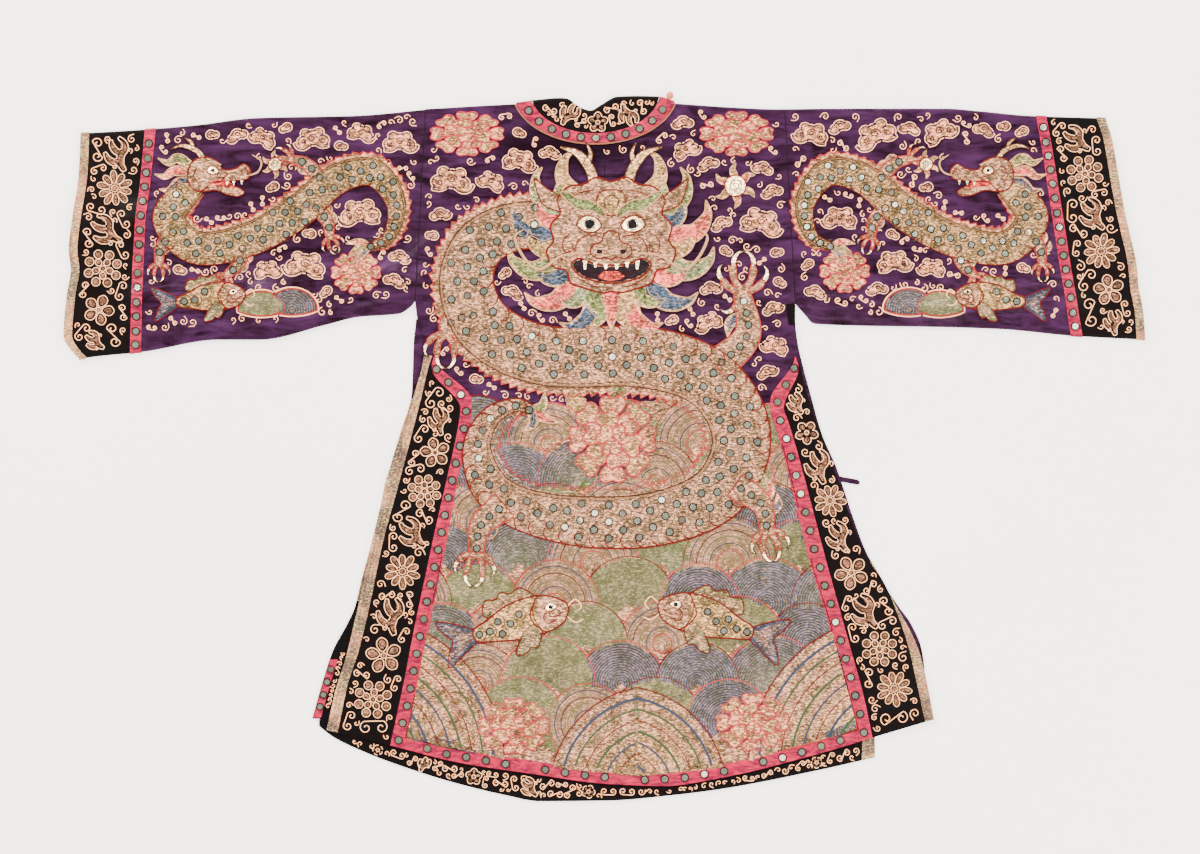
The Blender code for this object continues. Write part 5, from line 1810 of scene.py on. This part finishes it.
def carp(work, x, y, size, angle, flip, lift=1.5):
    shape, line = frameAt(x, y, size, angle, flip)
    tail = shape([(-58, 4), (-84, 22), (-112, 34), (-104, 12), (-96, 0), (-106, -16), (-112, -36),
                  (-82, -22), (-58, -8)])
    stitched(work, tail, edged("rose", "blue", 16.0), "red", lift, 0.6, 2.0)
    ray(work, tail, line([(-58, -2), (-60, -2)])[0], 14, "blue", lift + 0.5)
    top = shape([(40, 22), (22, 46), (6, 42), (-8, 48), (-18, 40), (-34, 42), (-40, 20), (0, 16)])
    stitched(work, top, edged("rose", "sage", 8.0), "red", lift, 0.6, 2.0)
    ray(work, top, line([(0, -10), (0, -12)])[0], 12, "sage", lift + 0.5)
    body = shape([(78, -10), (80, 4), (62, 20), (34, 29), (-6, 27), (-40, 14), (-62, 7), (-62, -10),
                  (-36, -18), (4, -27), (40, -28), (66, -22)])
    stitched(work, body, "gold", "red", lift + 0.5, 1.0, 2.4, 5.0, 8.0)
    head = shape([(78, -10), (80, 4), (62, 20), (42, 26), (30, 10), (30, -10), (40, -27), (66, -22)])
    stitched(work, head, "rose", "red", lift + 1.1, 0.7, 2.0, 5.0, 6.0)
    eye = shape([(66, 4), (58, 12), (48, 8), (52, 0)], 1.6)
    dome(work, eye, "white", lift + 1.8, 0.3)
    dome(work, turned(ellipse(0, 0, 3.4 * size, 3.4 * size, 0, 12), *eye.mean(0)), "ink", lift + 2.2, 0.2)
    strand(work, eye, "red", 1.5, 0.6, lift + 1.9, closed=True)
    for points in ([(36, 20), (24, 4), (26, -10), (34, -22)], [(72, -6), (60, -10), (50, -6)],
                   [(60, -14), (46, -16), (42, -6), (50, 2)]):
        strand(work, line(points), "red", 2.0, 0.8, lift + 1.6)
    for points in ([(78, -2), (94, 6), (100, -6), (92, -12)], [(74, -12), (84, -26), (98, -26)]):
        strand(work, line(points), "cord", 2.2, 0.9, lift + 0.2, taper=8)
    side = shape([(24, -12), (6, -20), (-12, -46), (4, -48), (12, -42), (22, -44), (34, -24)])
    stitched(work, side, edged("rose", "jade", 8.0), "red", lift + 1.0, 0.6, 2.0)
    ray(work, side, line([(26, -8), (28, -8)])[0], 9, "jade", lift + 1.5)
    path = line([(34, 0), (0, 0), (-34, -2), (-56, -2)])
    halves = halvesAlong(path, size, (0, 0.4, 1), (27, 25, 9))
    mirrorsOver(work, path, halves, lift + 0.9, 19.0, (head, side), 4.4, 8.0)
    markShape(body, 4.0)


mane = (
    # angle, reach, width, bend, colour and layer of the locks of the right half, from the ear down
    (-66, 84, 34, 20, "blossom", 0), (-40, 90, 36, 22, "blue", 0), (-14, 92, 36, 24, "jade", 0),
    (12, 90, 34, 24, "blossom", 0), (36, 84, 30, 22, "sage", 0), (58, 76, 26, 20, "gold", 0),
    (-54, 58, 30, 15, "sage", 1), (-28, 60, 32, 16, "blossom", 1), (-2, 62, 32, 16, "gold", 1),
    (22, 58, 28, 15, "blue", 1), (44, 50, 24, 13, "jade", 1),
)


headLines = (
    # places on the right half of the face, thread, width
    (((16, -2), (36, 0), (50, -12), (54, -30)), "red", 2.2),
    (((60, 2), (70, -8), (68, -24), (56, -22), (56, -12)), "red", 2.0),
    (((24, 66), (44, 62), (60, 54)), "red", 1.8), (((64, -40), (72, -34), (78, -36)), "red", 1.8),
    (((20, -76), (36, -70), (50, -62)), "red", 1.8),
)
horns = (
    # places, half width, stops and its parts there, threads, height over the head, rise, cord
    (((24, 66), (30, 94), (48, 118), (74, 128)), 8, (0, 0.6, 1), (1, 0.8, 0.15), ("cream", "rust"),
     -0.1, 0.8, 1.8),
    (((36, 102), (30, 118), (36, 134)), 5.5, (0, 1), (1, 0.15), ("cream", "rust"), -0.1, 0.7, 1.6),
    (((66, 40), (92, 54), (112, 82)), 12, (0, 0.45, 1), (0.7, 1, 0.08), ("rose", "red"), 0.1, 0.8, 2.0),
)
maneBends = ((0, 0), (0.35, -0.7), (0.7, -0.75), (0.95, 0.1), (0.98, 1))  # parts of reach and bend
otherDye = {"sage": "jade", "jade": "sage", "blossom": "blue", "blue": "blossom"}  # the mane's left half


def makeMane(work, x, y, size, lift):
    for way in (1, -1):
        for turn, reach, width, bend, dye, above in mane:
            if way < 0:
                dye = otherDye.get(dye, dye)
            a = radians(turn)
            start = np.array([58 * cos(a), 62 * sin(a) - 4])
            out, aside = unit(a), np.array([-sin(a), cos(a)])
            points = [start + out * reach * far + aside * bend * by for far, by in maneBends]
            points = np.array(points) * (way * size, size) + (x, y)
            lock(work, points, width * size, dye, lift - 0.9 + 0.5 * above)
    for bend, dye in ((-16, "sage"), (16, "gold"), (0, "blossom")):
        points = np.array([(bend * 0.5, -66), (bend * 1.6, -92), (bend * 0.9, -116), (bend * 1.8, -138)])
        lock(work, points * size + (x, y), 30 * size, dye, lift - 0.3)


def frontHead(work, x, y, size=1.0, lift=2.4):
    makeMane(work, x, y, size, lift)
    shape, line = frameAt(x, y, size)
    for way in (1, -1):
        _, side = frameAt(x, y, size, 0.0, way < 0)
        for places, half, stops, parts, dyes, height, rise, wide in horns:
            path = side(places)
            halves = halvesAlong(path, size * half, stops, parts)
            stitched(work, lineShape(path, halves), *dyes, lift + height, rise, wide)
    head = shape(bothSides([(0, 78), (22, 84), (40, 74), (62, 70), (78, 52), (74, 32), (88, 14), (84, -8),
                            (94, -24), (84, -46), (66, -52), (58, -70), (36, -78), (14, -84), (0, -82)]))
    stitched(work, head, "rose", "red", lift + 0.5, 1.0, 2.8, 6.0, 10.0)
    boss = shape(bothSides([(0, 66), (16, 62), (22, 46), (14, 32), (0, 28)]))
    stitched(work, boss, "gold", "red", lift + 1.3, 0.7, 2.2, 5.0, 7.0)
    knot = line([(-8, 40), (-10, 52), (0, 58), (10, 52), (8, 40), (0, 44)])
    strand(work, knot, "rust", 1.7, 0.7, lift + 1.9)
    nose = shape(bothSides([(0, 6), (10, 2), (14, -10), (26, -14), (30, -26), (20, -34), (8, -32),
                            (0, -36)]))
    mouth = shape(bothSides([(0, -44), (24, -42), (46, -34), (58, -44), (44, -60), (20, -68), (0, -70)]))
    stitched(work, mouth, "plum", "red", lift + 1.55, 0.3, 2.6, 5.0, 3.0)
    tongue = shape(bothSides([(0, -52), (14, -54), (20, -62), (0, -67)]))
    dome(work, tongue, "coral", lift + 1.9, 0.4)
    for place in (-38, -23, -8, 8, 23, 38):
        long = 13 if abs(place) == 38 else 8
        tooth = turned([(-3.4, 0), (3.4, 0), (1.5, -long), (-1.5, -long)], x + place * size,
                       y - (43 - abs(place) * 0.16) * size, size)
        dome(work, tooth, "white", lift + 2.0, 0.5)
    stitched(work, nose, "rose", "red", lift + 1.5, 1.0, 2.2, 5.0, 7.0)
    for way in (1, -1):
        patch, side = frameAt(x, y, size, 0.0, way < 0)
        brow = patch([(8, 24), (26, 34), (44, 36), (60, 46), (74, 62), (62, 62), (50, 54), (30, 50),
                      (12, 38)])
        stitched(work, brow, "sage", "cream", lift + 1.6, 0.8, 1.8, 5.0, 6.0)
        eye = patch([(14, 14), (24, 26), (40, 27), (50, 16), (40, 6), (24, 5)], 2.4)
        dome(work, eye, "white", lift + 1.5, 0.5)
        strand(work, eye, "red", 2.2, 0.9, lift + 1.6, closed=True)
        pupil = ellipse(x + way * 31 * size, y + 16 * size, 7.2 * size, 7.2 * size, 0, 16)
        dome(work, pupil, "ink", lift + 2.1, 0.3)
        strand(work, outward(pupil, 0.6), "rust", 1.2, 0.5, lift + 2.1, closed=True)
        nostril = ellipse(x + way * 17 * size, y - 24 * size, 5.0 * size, 4.0 * size, 0, 12)
        dome(work, nostril, "plum", lift + 2.5, 0.3)
        for places, dye, wide in headLines:
            strand(work, side(places), dye, wide, 0.9, lift + 1.25)
        whisker = side([(28, -26), (70, -30), (104, -50), (126, -34), (140, -4), (128, 8)])
        strand(work, whisker, "cream", 4.4, 1.8, lift + 1.0, taper=30)


profileLocks = (
    # places, width, thread
    (((34, 22), (58, 34), (74, 26), (92, 34)), 18, "sage"),
    (((38, 10), (64, 12), (80, 2), (98, 6)), 18, "blossom"),
    (((36, -4), (58, -10), (72, -22), (90, -20)), 18, "blue"),
    (((26, -16), (40, -30), (44, -44), (58, -52)), 16, "jade"),
)
profileHorns = ((((10, 30), (26, 48), (50, 56), (70, 50)), 5.0), (((30, 50), (34, 62), (46, 70)), 3.6))
profileLines = (
    # places, thread, width
    (((-66, 6), (-60, 16), (-52, 10), (-58, 4)), "red", 1.7),
    (((-18, 22), (-2, 28), (12, 24)), "cream", 2.6), (((24, 18), (30, 4), (22, -10)), "red", 1.7),
    (((-30, 8), (-22, 0), (-8, 2)), "red", 1.5),
)


def profileHead(work, x, y, size, flip, lift=2.2):
    # a small head seen from its side, jaws apart
    shape, line = frameAt(x, y, size, 0.0, flip)
    for points, width, dye in profileLocks:
        path = turned(np.array(points) * size, x, y, 1.0, 0.0, flip)
        lock(work, path, width * size, dye, lift - 0.6, "cream", 0.7, 1.4)
    for points, wide in profileHorns:
        horn = line(points)
        halves = halvesAlong(horn, size * wide, (0, 0.6, 1), (1, 0.8, 0.12))
        stitched(work, lineShape(horn, halves), "cream", "rust", lift, 0.7, 1.4)
    jaw = shape([(20, -24), (-10, -22), (-30, -30), (-50, -32), (-58, -24), (-40, -14), (-16, -8), (20, -4)])
    stitched(work, jaw, "rose", "red", lift + 0.1, 0.7, 1.8)
    throat = shape([(10, -14), (-20, -18), (-44, -20), (-30, -6), (-6, -2)])
    dome(work, throat, "coral", lift + 0.5, 0.4)
    head = shape([(40, 10), (30, 30), (8, 36), (-12, 28), (-22, 14), (-42, 16), (-58, 24), (-70, 12),
                  (-64, -2), (-44, -5), (-26, -6), (-4, -8), (18, -24), (36, -14)])
    stitched(work, head, "rose", "red", lift + 0.5, 0.9, 2.0, 5.0, 7.0)
    for place, drop in ((-54, -4), (-40, -5), (-28, -6)):
        tooth = [(place - 3, drop), (place + 3, drop), (place, drop - 9)]
        dome(work, turned(np.array(tooth) * size, x, y, 1.0, 0.0, flip), "white", lift + 0.9, 0.4)
    eye = shape([(-14, 10), (-8, 20), (4, 18), (6, 9), (-4, 5)], 1.6)
    dome(work, eye, "white", lift + 1.3, 0.4)
    strand(work, eye, "red", 1.6, 0.7, lift + 1.4, closed=True)
    dome(work, turned(ellipse(0, 0, 3.4 * size, 3.4 * size, 0, 12), *eye.mean(0)), "ink", lift + 1.8, 0.2)
    for points, dye, wide in profileLines:
        strand(work, line(points), dye, wide, 0.8, lift + 1.3)
    strand(work, line([(-60, 2), (-82, 10), (-88, 28), (-72, 40)]), "cream", 2.8, 1.2, lift + 0.6, taper=16)


def pearl(work, x, y, size, lift=0.8):
    # a round pearl among six flames, with a spiral on it
    for k in range(6):
        a = k * pi / 3 + 0.4
        points = [placeAt(x, y, size * reach, a + turn)
                  for reach, turn in ((0.7, 0), (1.5, 0.3), (2.1, 0.1))]
        lock(work, points, size * 0.7, ("coral", "gold")[k % 2], lift - 0.4, "cream", 0.6, 1.2)
    stitched(work, ellipse(x, y, size, size, 0, 22), "white", "red", lift, 1.2, 2.0, 4.0, size * 0.8)
    strand(work, turned(spiralIn(size * 0.8, size * 0.8, 1.8, 26), x, y), "rust", 1.5, 0.7, lift + 1.0)
    markDisc(x, y, size * 2)


loopPoints = (
    (-30, 318), (-118, 334), (-186, 306), (-208, 244), (-176, 176), (-88, 136), (60, 134), (160, 98),
    (204, 16), (168, -68), (66, -108), (-66, -106), (-158, -72), (-190, -8), (-172, 42), (-134, 62),
    (-108, 54),
)
loopWidths = ((0, 34), (0.1, 38), (0.22, 45), (0.4, 47), (0.6, 44), (0.76, 39), (0.88, 28), (1, 8))
loopLegs = (
    # places, width, size of the foot, heading, height
    (((-186, 200), (-226, 190), (-238, 172)), 40, 38, -1.6, 0.9),
    (((168, 120), (214, 168), (206, 232)), 42, 44, 1.5, 0.9),
    (((196, -56), (236, -86), (244, -124)), 34, 34, -1.4, 2.0),
    (((-150, -86), (-186, -118), (-192, -158)), 36, 36, -1.7, 2.0),
)
loopTail = ((-1.5, -0.5, 34, "blue"), (0.5, 0.5, 34, "sage"), (-0.5, 0.1, 44, "blossom"))


def makeBackDragon():
    work = Needlework("back", "back")
    path = smooth(loopPoints, 2.6)
    count = len(path)
    inner = path[int(count * 0.40):][::3]
    inner = asPath(inner[:, 0], np.minimum(inner[:, 1], 76 + 4 * np.sin(inner[:, 0] / 13)))
    fillShape(work, evenly(inner, 7.0, True), "rose", -0.1, 0.4, 9.0, swell, 3.0)
    makeWater(path[int(count * 0.53):int(count * 0.83)][::-1][::3])
    flower = ellipse(12, 12, 68, 66, 0.0, 30)
    cover = ellipse(10, 316, 104, 96, 0.0, 30)
    for k in range(7):
        a = k * 0.9 + 0.5
        leafAt(work, 12 + 52 * cos(a), 12 + 50 * sin(a), a, 46, 0.2, ("rose", "sage", "gold")[k % 3])
    for points, width, size, heading, height in loopLegs:
        leg(work, points, width, size, heading, height)
    dragonBody(work, loopPoints, loopWidths, 1.5, -1, (cover, flower))
    end = np.array(loopPoints[-1])
    for turn, bend, reach, dye in loopTail:
        first, second = unit(turn), unit(turn + bend)
        tip = np.array([end - 5 * first, end + 0.5 * reach * first, end + reach * second])
        lock(work, tip, 17, dye, 1.7)
    peony(work, 12, 12, 66, 2.4, 1.0)
    frontHead(work, 10, 318, 1.03, 2.9)
    markShape(ellipse(10, 320, 150, 120, 0.0, 30))
    pearl(work, 196, 392, 16)
    for x, y in ((-206, 470), (198, 470)):
        peony(work, x, y, 56, 0.9, 0.6)


def makeCarp():
    for x, y, angle, flip in ((-134, -262, 0.30, False), (160, -258, -0.30, True)):
        carp(Needlework("back", "back"), x, y, 1.02, angle, flip, 1.6)


sleeveBody = ((-618, 392), (-652, 344), (-612, 300), (-534, 312), (-462, 352), (-402, 402), (-346, 412),
              (-312, 366), (-322, 316), (-352, 300))
sleeveWidths = ((0, 21), (0.1, 25), (0.5, 26), (0.75, 21), (1, 6))
sleeveLegs = (
    # places and heading
    (((-640, 330), (-664, 300), (-668, 276)), -1.6), (((-540, 308), (-548, 276), (-566, 258)), -2.1),
    (((-440, 366), (-416, 340), (-412, 316)), -1.2), (((-420, 396), (-446, 424), (-470, 432)), 2.6),
)
sleeveSpots = {"head": (-590, 404), "tail": (-352, 300), "pearl": (-494, 424), "carp": (-596, 224),
               "carpRoom": (-600, 224), "peony": (-372, 262)}
mound = {
    "gap": 2.6, "cord": 2.2,
    "hills": ((-468, 206, 37, "steel", "blue"), (-514, 204, 35, "sage", "jade")),
    "foam": ((-423, 203, 7.0), (-412, 214, 5.0), (-410, 202, 4.2), (-491, 238, 6.4), (-480, 247, 4.6)),
}


def across(points, side):
    # the same places on the other sleeve
    points = np.asarray(points, float)
    return points if side == "left" else points * (-1, 1) - (12, 0)


def makeMound(work, side):
    # two hills of water side by side in one light cord, with curls of foam under them
    shapes = []
    for k, (x, y, outer, first, second) in enumerate(mound["hills"]):
        x, y = across((x, y), side)
        angle, t = np.linspace(0.0, pi, 26), np.linspace(-1, 1, 16)[1:-1]
        crest, base = asPath(np.cos(angle), 0.84 * np.sin(angle)), asPath(t, -0.2 * (1 - t ** 2))
        shape = np.concatenate([crest, base]) * outer + (x, y)
        height = 0.1 + 0.3 * k
        fillShape(waves, shape, edged(second, first, 14.0), height, 0.5, 5.0,
                  lambda px, py: np.hypot(px - x, py - y), 2.5)
        strand(work, shape, "coral", 1.6, 0.7, height, closed=True)
        shapes.append(evenly(outward(shape, mound["gap"]), 2.2, True))
    for k, shape in enumerate(shapes):
        for path, closed in freeRuns(shape, shapes[:k] + shapes[k + 1:]):
            strand(work, path, "cord", mound["cord"], 0.7, 0.0, closed, True)
    for x, y, radius in mound["foam"]:
        x, y = across((x, y), side)
        turns = 1.1 if side == "left" else -1.1
        strand(work, snail(x, y, radius, 1.6, turns), "cord", 1.8, 0.6, twin=True)
        markDisc(x, y, radius + 1)


def makeSleeveDragon(side):
    work = Needlework(f"sleeve_{side}", f"sleeve_{side}")
    way = -outwards[side]
    spots = {name: across(place, side) for name, place in sleeveSpots.items()}

    def facing(angle):
        return angle if side == "left" else pi - angle
    cover = ellipse(*spots["head"], 46, 36, 0.0, 20)
    for points, heading in sleeveLegs:
        leg(work, across(points, side), 20, 20, facing(heading), 0.7, (cover,))
    dragonBody(work, across(sleeveBody, side), sleeveWidths, 1.3, way, (cover,), 19.0, 9.0, 4.3, 0.62,
               "straw")
    end = spots["tail"]
    for turn, dye in ((2.7, "blossom"), (3.3, "sage"), (3.9, "blue")):
        turn = facing(turn)
        tip = np.array([end, end + 18 * unit(turn), end + 36 * unit(turn + 0.3 * way)])
        lock(work, tip, 12, dye, 1.5, "cream", 0.6, 1.3)
    profileHead(work, *spots["head"], 0.86, side == "left", 1.9)
    markShape(ellipse(*spots["head"], 80, 52, 0.0, 24))
    pearl(work, *spots["pearl"], 10)
    makeMound(work, side)
    carp(work, *spots["carp"], 0.72, 0.12 * way, side == "right", 0.6)
    markShape(ellipse(*spots["carpRoom"], 84, 30, 0.0, 24))
    x, y = spots["peony"] + ((0, 0) if side == "left" else (0, 2))
    peony(work, x, y, 38, 0.6, 0.86)


# clouds and small scrolls fill what is left of the purple

lobes = (
    # middle and half sizes of each lobe, as parts of the cloud's size; the first ones carry a spiral
    (0.05, 0.12, 0.50, 0.42), (-0.56, -0.08, 0.36, 0.29), (0.60, -0.08, 0.33, 0.27),
    (-0.38, 0.44, 0.24, 0.20), (0.46, 0.42, 0.22, 0.19),
)
tails = (
    # places along each tail, then its width
    ((0.2, -0.2), (0.6, -0.44), (0.96, -0.40), (1.16, -0.14), 0.17),
    ((-0.1, -0.16), (-0.5, -0.42), (-0.9, -0.44), 0.15),
)


def drawCloud(work):
    def draw(x, y, radius):
        angle, flip = rng.uniform(-0.45, 0.45), rng.random() < 0.5
        used = lobes if radius > 18 else lobes[:3] if radius > 12 else lobes[:2]
        size = radius * 0.9
        shapes = []
        for *places, wide in tails[:2 if radius > 18 else 1 if radius > 12 else 0]:
            path = smooth(places, 0.07)
            halves = halvesAlong(path, wide / 2, (0, 0.4, 1), (1, 1, 0.12))
            shapes.append(turned(lineShape(path, halves), x, y, size, angle, flip))
        under = len(shapes)
        for a, b, wide, high in used:
            shapes.append(turned(ellipse(a, b, wide, high, 0.0, 20), x, y, size, angle, flip))
        motif(work, shapes, "blush", 1.5, 1.6, rise=0.5)
        for k, (a, b, wide, high) in enumerate(used[:3 if radius > 24 else 1]):
            turns = 1.5 if wide * size > 8 else 0.95
            curl = spiralIn(wide * size * 0.72, high * size * 0.72, turns, 24, 0.16)
            curl = turned(curl, 0, 0, 1.0, 2.4 * k) + turned([(a, b)], x, y, size, angle, flip)[0]
            strand(work, curl, "violet", 1.7, 0.4, 0.56 + 0.02 * (k + under))
    return draw


def drawWisp(work):
    # a forked scroll of light cord
    def draw(x, y, radius):
        kind = rng.choice(("cee", "ess"))
        path = turned(snailPair(radius * 0.44, kind), x, y, 1.0, rng.uniform(0, pi), rng.random() < 0.5)
        strand(work, path, "cord", 1.9, 0.6, twin=True)
    return draw


def freePurple(side):
    if side == "back":
        low = np.where(np.abs(cellX) < 190, -30.0, 30.0)
        kept = (cellY > low) & (cellX > armhole["left"](cellY) + 7) & (cellX < armhole["right"](cellY) - 7)
        kept &= (cellX > backEdge["left"](cellY) + 12) & (cellX < backEdge["right"](cellY) - 12)
        for half, way in (("left", 1), ("right", -1)):
            kept &= (way * (cellX - ribbonInner[half](cellY)) > 5) | (cellY > border["ribbonTop"] + 6)
        away = np.hypot((cellX - collarArc["x"]) / (collarArc["outerX"] + 8),
                        (cellY - collarArc["y"]) / (collarArc["outerY"] + 8))
        return kept & (away > 1) & (cellY < shoulderLine(cellX) - 6)
    way = -1 if side == "left" else 1
    seam = np.abs(armhole[side](cellY)) + 7
    cuff = np.abs(cuffRibbon[side](cellY)) - 6
    reach = way * cellX
    return ((reach > seam) & (reach < cuff) & (cellY > sleeveBottom[side](cellX) + 24)
            & (cellY < sleeveTop[side](cellX) - 5))


def sewSeams():
    # a sunk line of thread along the seams of the purple satin
    for side in sides:
        work = cords[f"sleeve_{side}"]
        y = np.linspace(armpitY[side] + 2, float(sleeveTop[side](armhole[side](470))) - 4, 90)
        strand(work, asPath(armhole[side](y), y), "plum", 1.5, 0.3)
    y = np.linspace(border["ribbonTop"], float(collarTop(0.0)) - 95, 80)
    strand(cords["clouds"], asPath(centreSeam(y), y), "plum", 1.4, 0.3)


cloudSizes = ((33, 1.5, 2600), (27, 1.5, 2600), (21, 1.4, 2600), (16, 1.2, 3000), (12, 1.0, 3500))


def fillPurple():
    for part, fill, cord in (("back", "back", "clouds"), ("left", "sleeve_left", "sleeve_left"),
                             ("right", "sleeve_right", "sleeve_right")):
        work, allowed = Needlework(fill, cord), freePurple(part)
        scatter(allowed, cloudSizes, drawCloud(work))
        scatter(allowed, ((11, 0.6, 1800), (8.5, 0.5, 3000)), drawWisp(work))
        scatter(allowed, ((6.4, 0.6, 2500), (4.8, 0.5, 4000)), drawCurl(work))


makeBackDragon()
makeCarp()
for side in sides:
    makeSleeveDragon(side)
print("creatures stitched")
fillPurple()
sewSeams()
print("clouds stitched")
for work in (*fills.values(), *cords.values(), waves, glass, rims):
    work.make()
print("stitches made")


# stage, light and camera

def makeStage():
    size, low = 9.0, -0.0008
    points = [(-size, -size, low), (size, -size, low), (size, size, low), (-size, size, low)]
    mesh = bpy.data.meshes.new("paleFloor")
    mesh.from_pydata(points, [], [(0, 1, 2, 3)])
    look, n, inputs = startLook("palePaper", Emission_Strength=3.0, Roughness=0.8)
    paper = n.mixed(n.noise(n.place(), 3.0), (0.87, 0.82, 0.75, 1.0), (0.91, 0.86, 0.79, 1.0))
    n.link(paper, inputs["Base Color"])
    n.link(paper, inputs["Emission Color"])
    mesh.materials.append(look)
    floor = bpy.data.objects.new("paleFloor", mesh)
    bpy.context.collection.objects.link(floor)


def makeLight(name, place, size, power):
    lamp = bpy.data.lights.new(name, "AREA")
    lamp.size = size
    lamp.energy = power
    holder = bpy.data.objects.new(name, lamp)
    holder.location = place
    holder.rotation_euler = (-Vector(place)).to_track_quat("-Z", "Y").to_euler()
    bpy.context.collection.objects.link(holder)


view = {"middleX": -6.75, "middleY": 30.4, "width": 1800.0, "distance": 7.0, "sensor": 36.0}


def makeCamera():
    camera = bpy.data.cameras.new("above")
    camera.sensor_width = view["sensor"]
    camera.lens = view["sensor"] * view["distance"] / (view["width"] * layout["millimetre"])
    holder = bpy.data.objects.new("above", camera)
    centre = toMetres([view["middleX"], view["middleY"], 0.0])
    holder.location = (centre[0], centre[1], view["distance"])
    bpy.context.collection.objects.link(holder)
    bpy.context.scene.camera = holder


lamps = {
    # place, size and power: four low ones round the cloth, and one that only the mirrors show
    "key": ((-3.4, 3.2, 2.7), 2.4, 620.0), "fill": ((4.0, -1.2, 3.0), 3.0, 330.0),
    "low": ((0.5, -4.2, 3.0), 3.0, 220.0), "back": ((1.5, 4.2, 2.8), 3.0, 200.0),
    "glint": ((1.1, 0.7, 6.2), 0.5, 8.0),
}
makeStage()
for name, values in lamps.items():
    makeLight(name, *values)
world = bpy.data.worlds.new("studio")
world.use_nodes = True
background = world.node_tree.nodes["Background"].inputs
background["Color"].default_value = (1.0, 0.99, 0.97, 1.0)
background["Strength"].default_value = 0.32
bpy.context.scene.world = world
makeCamera()
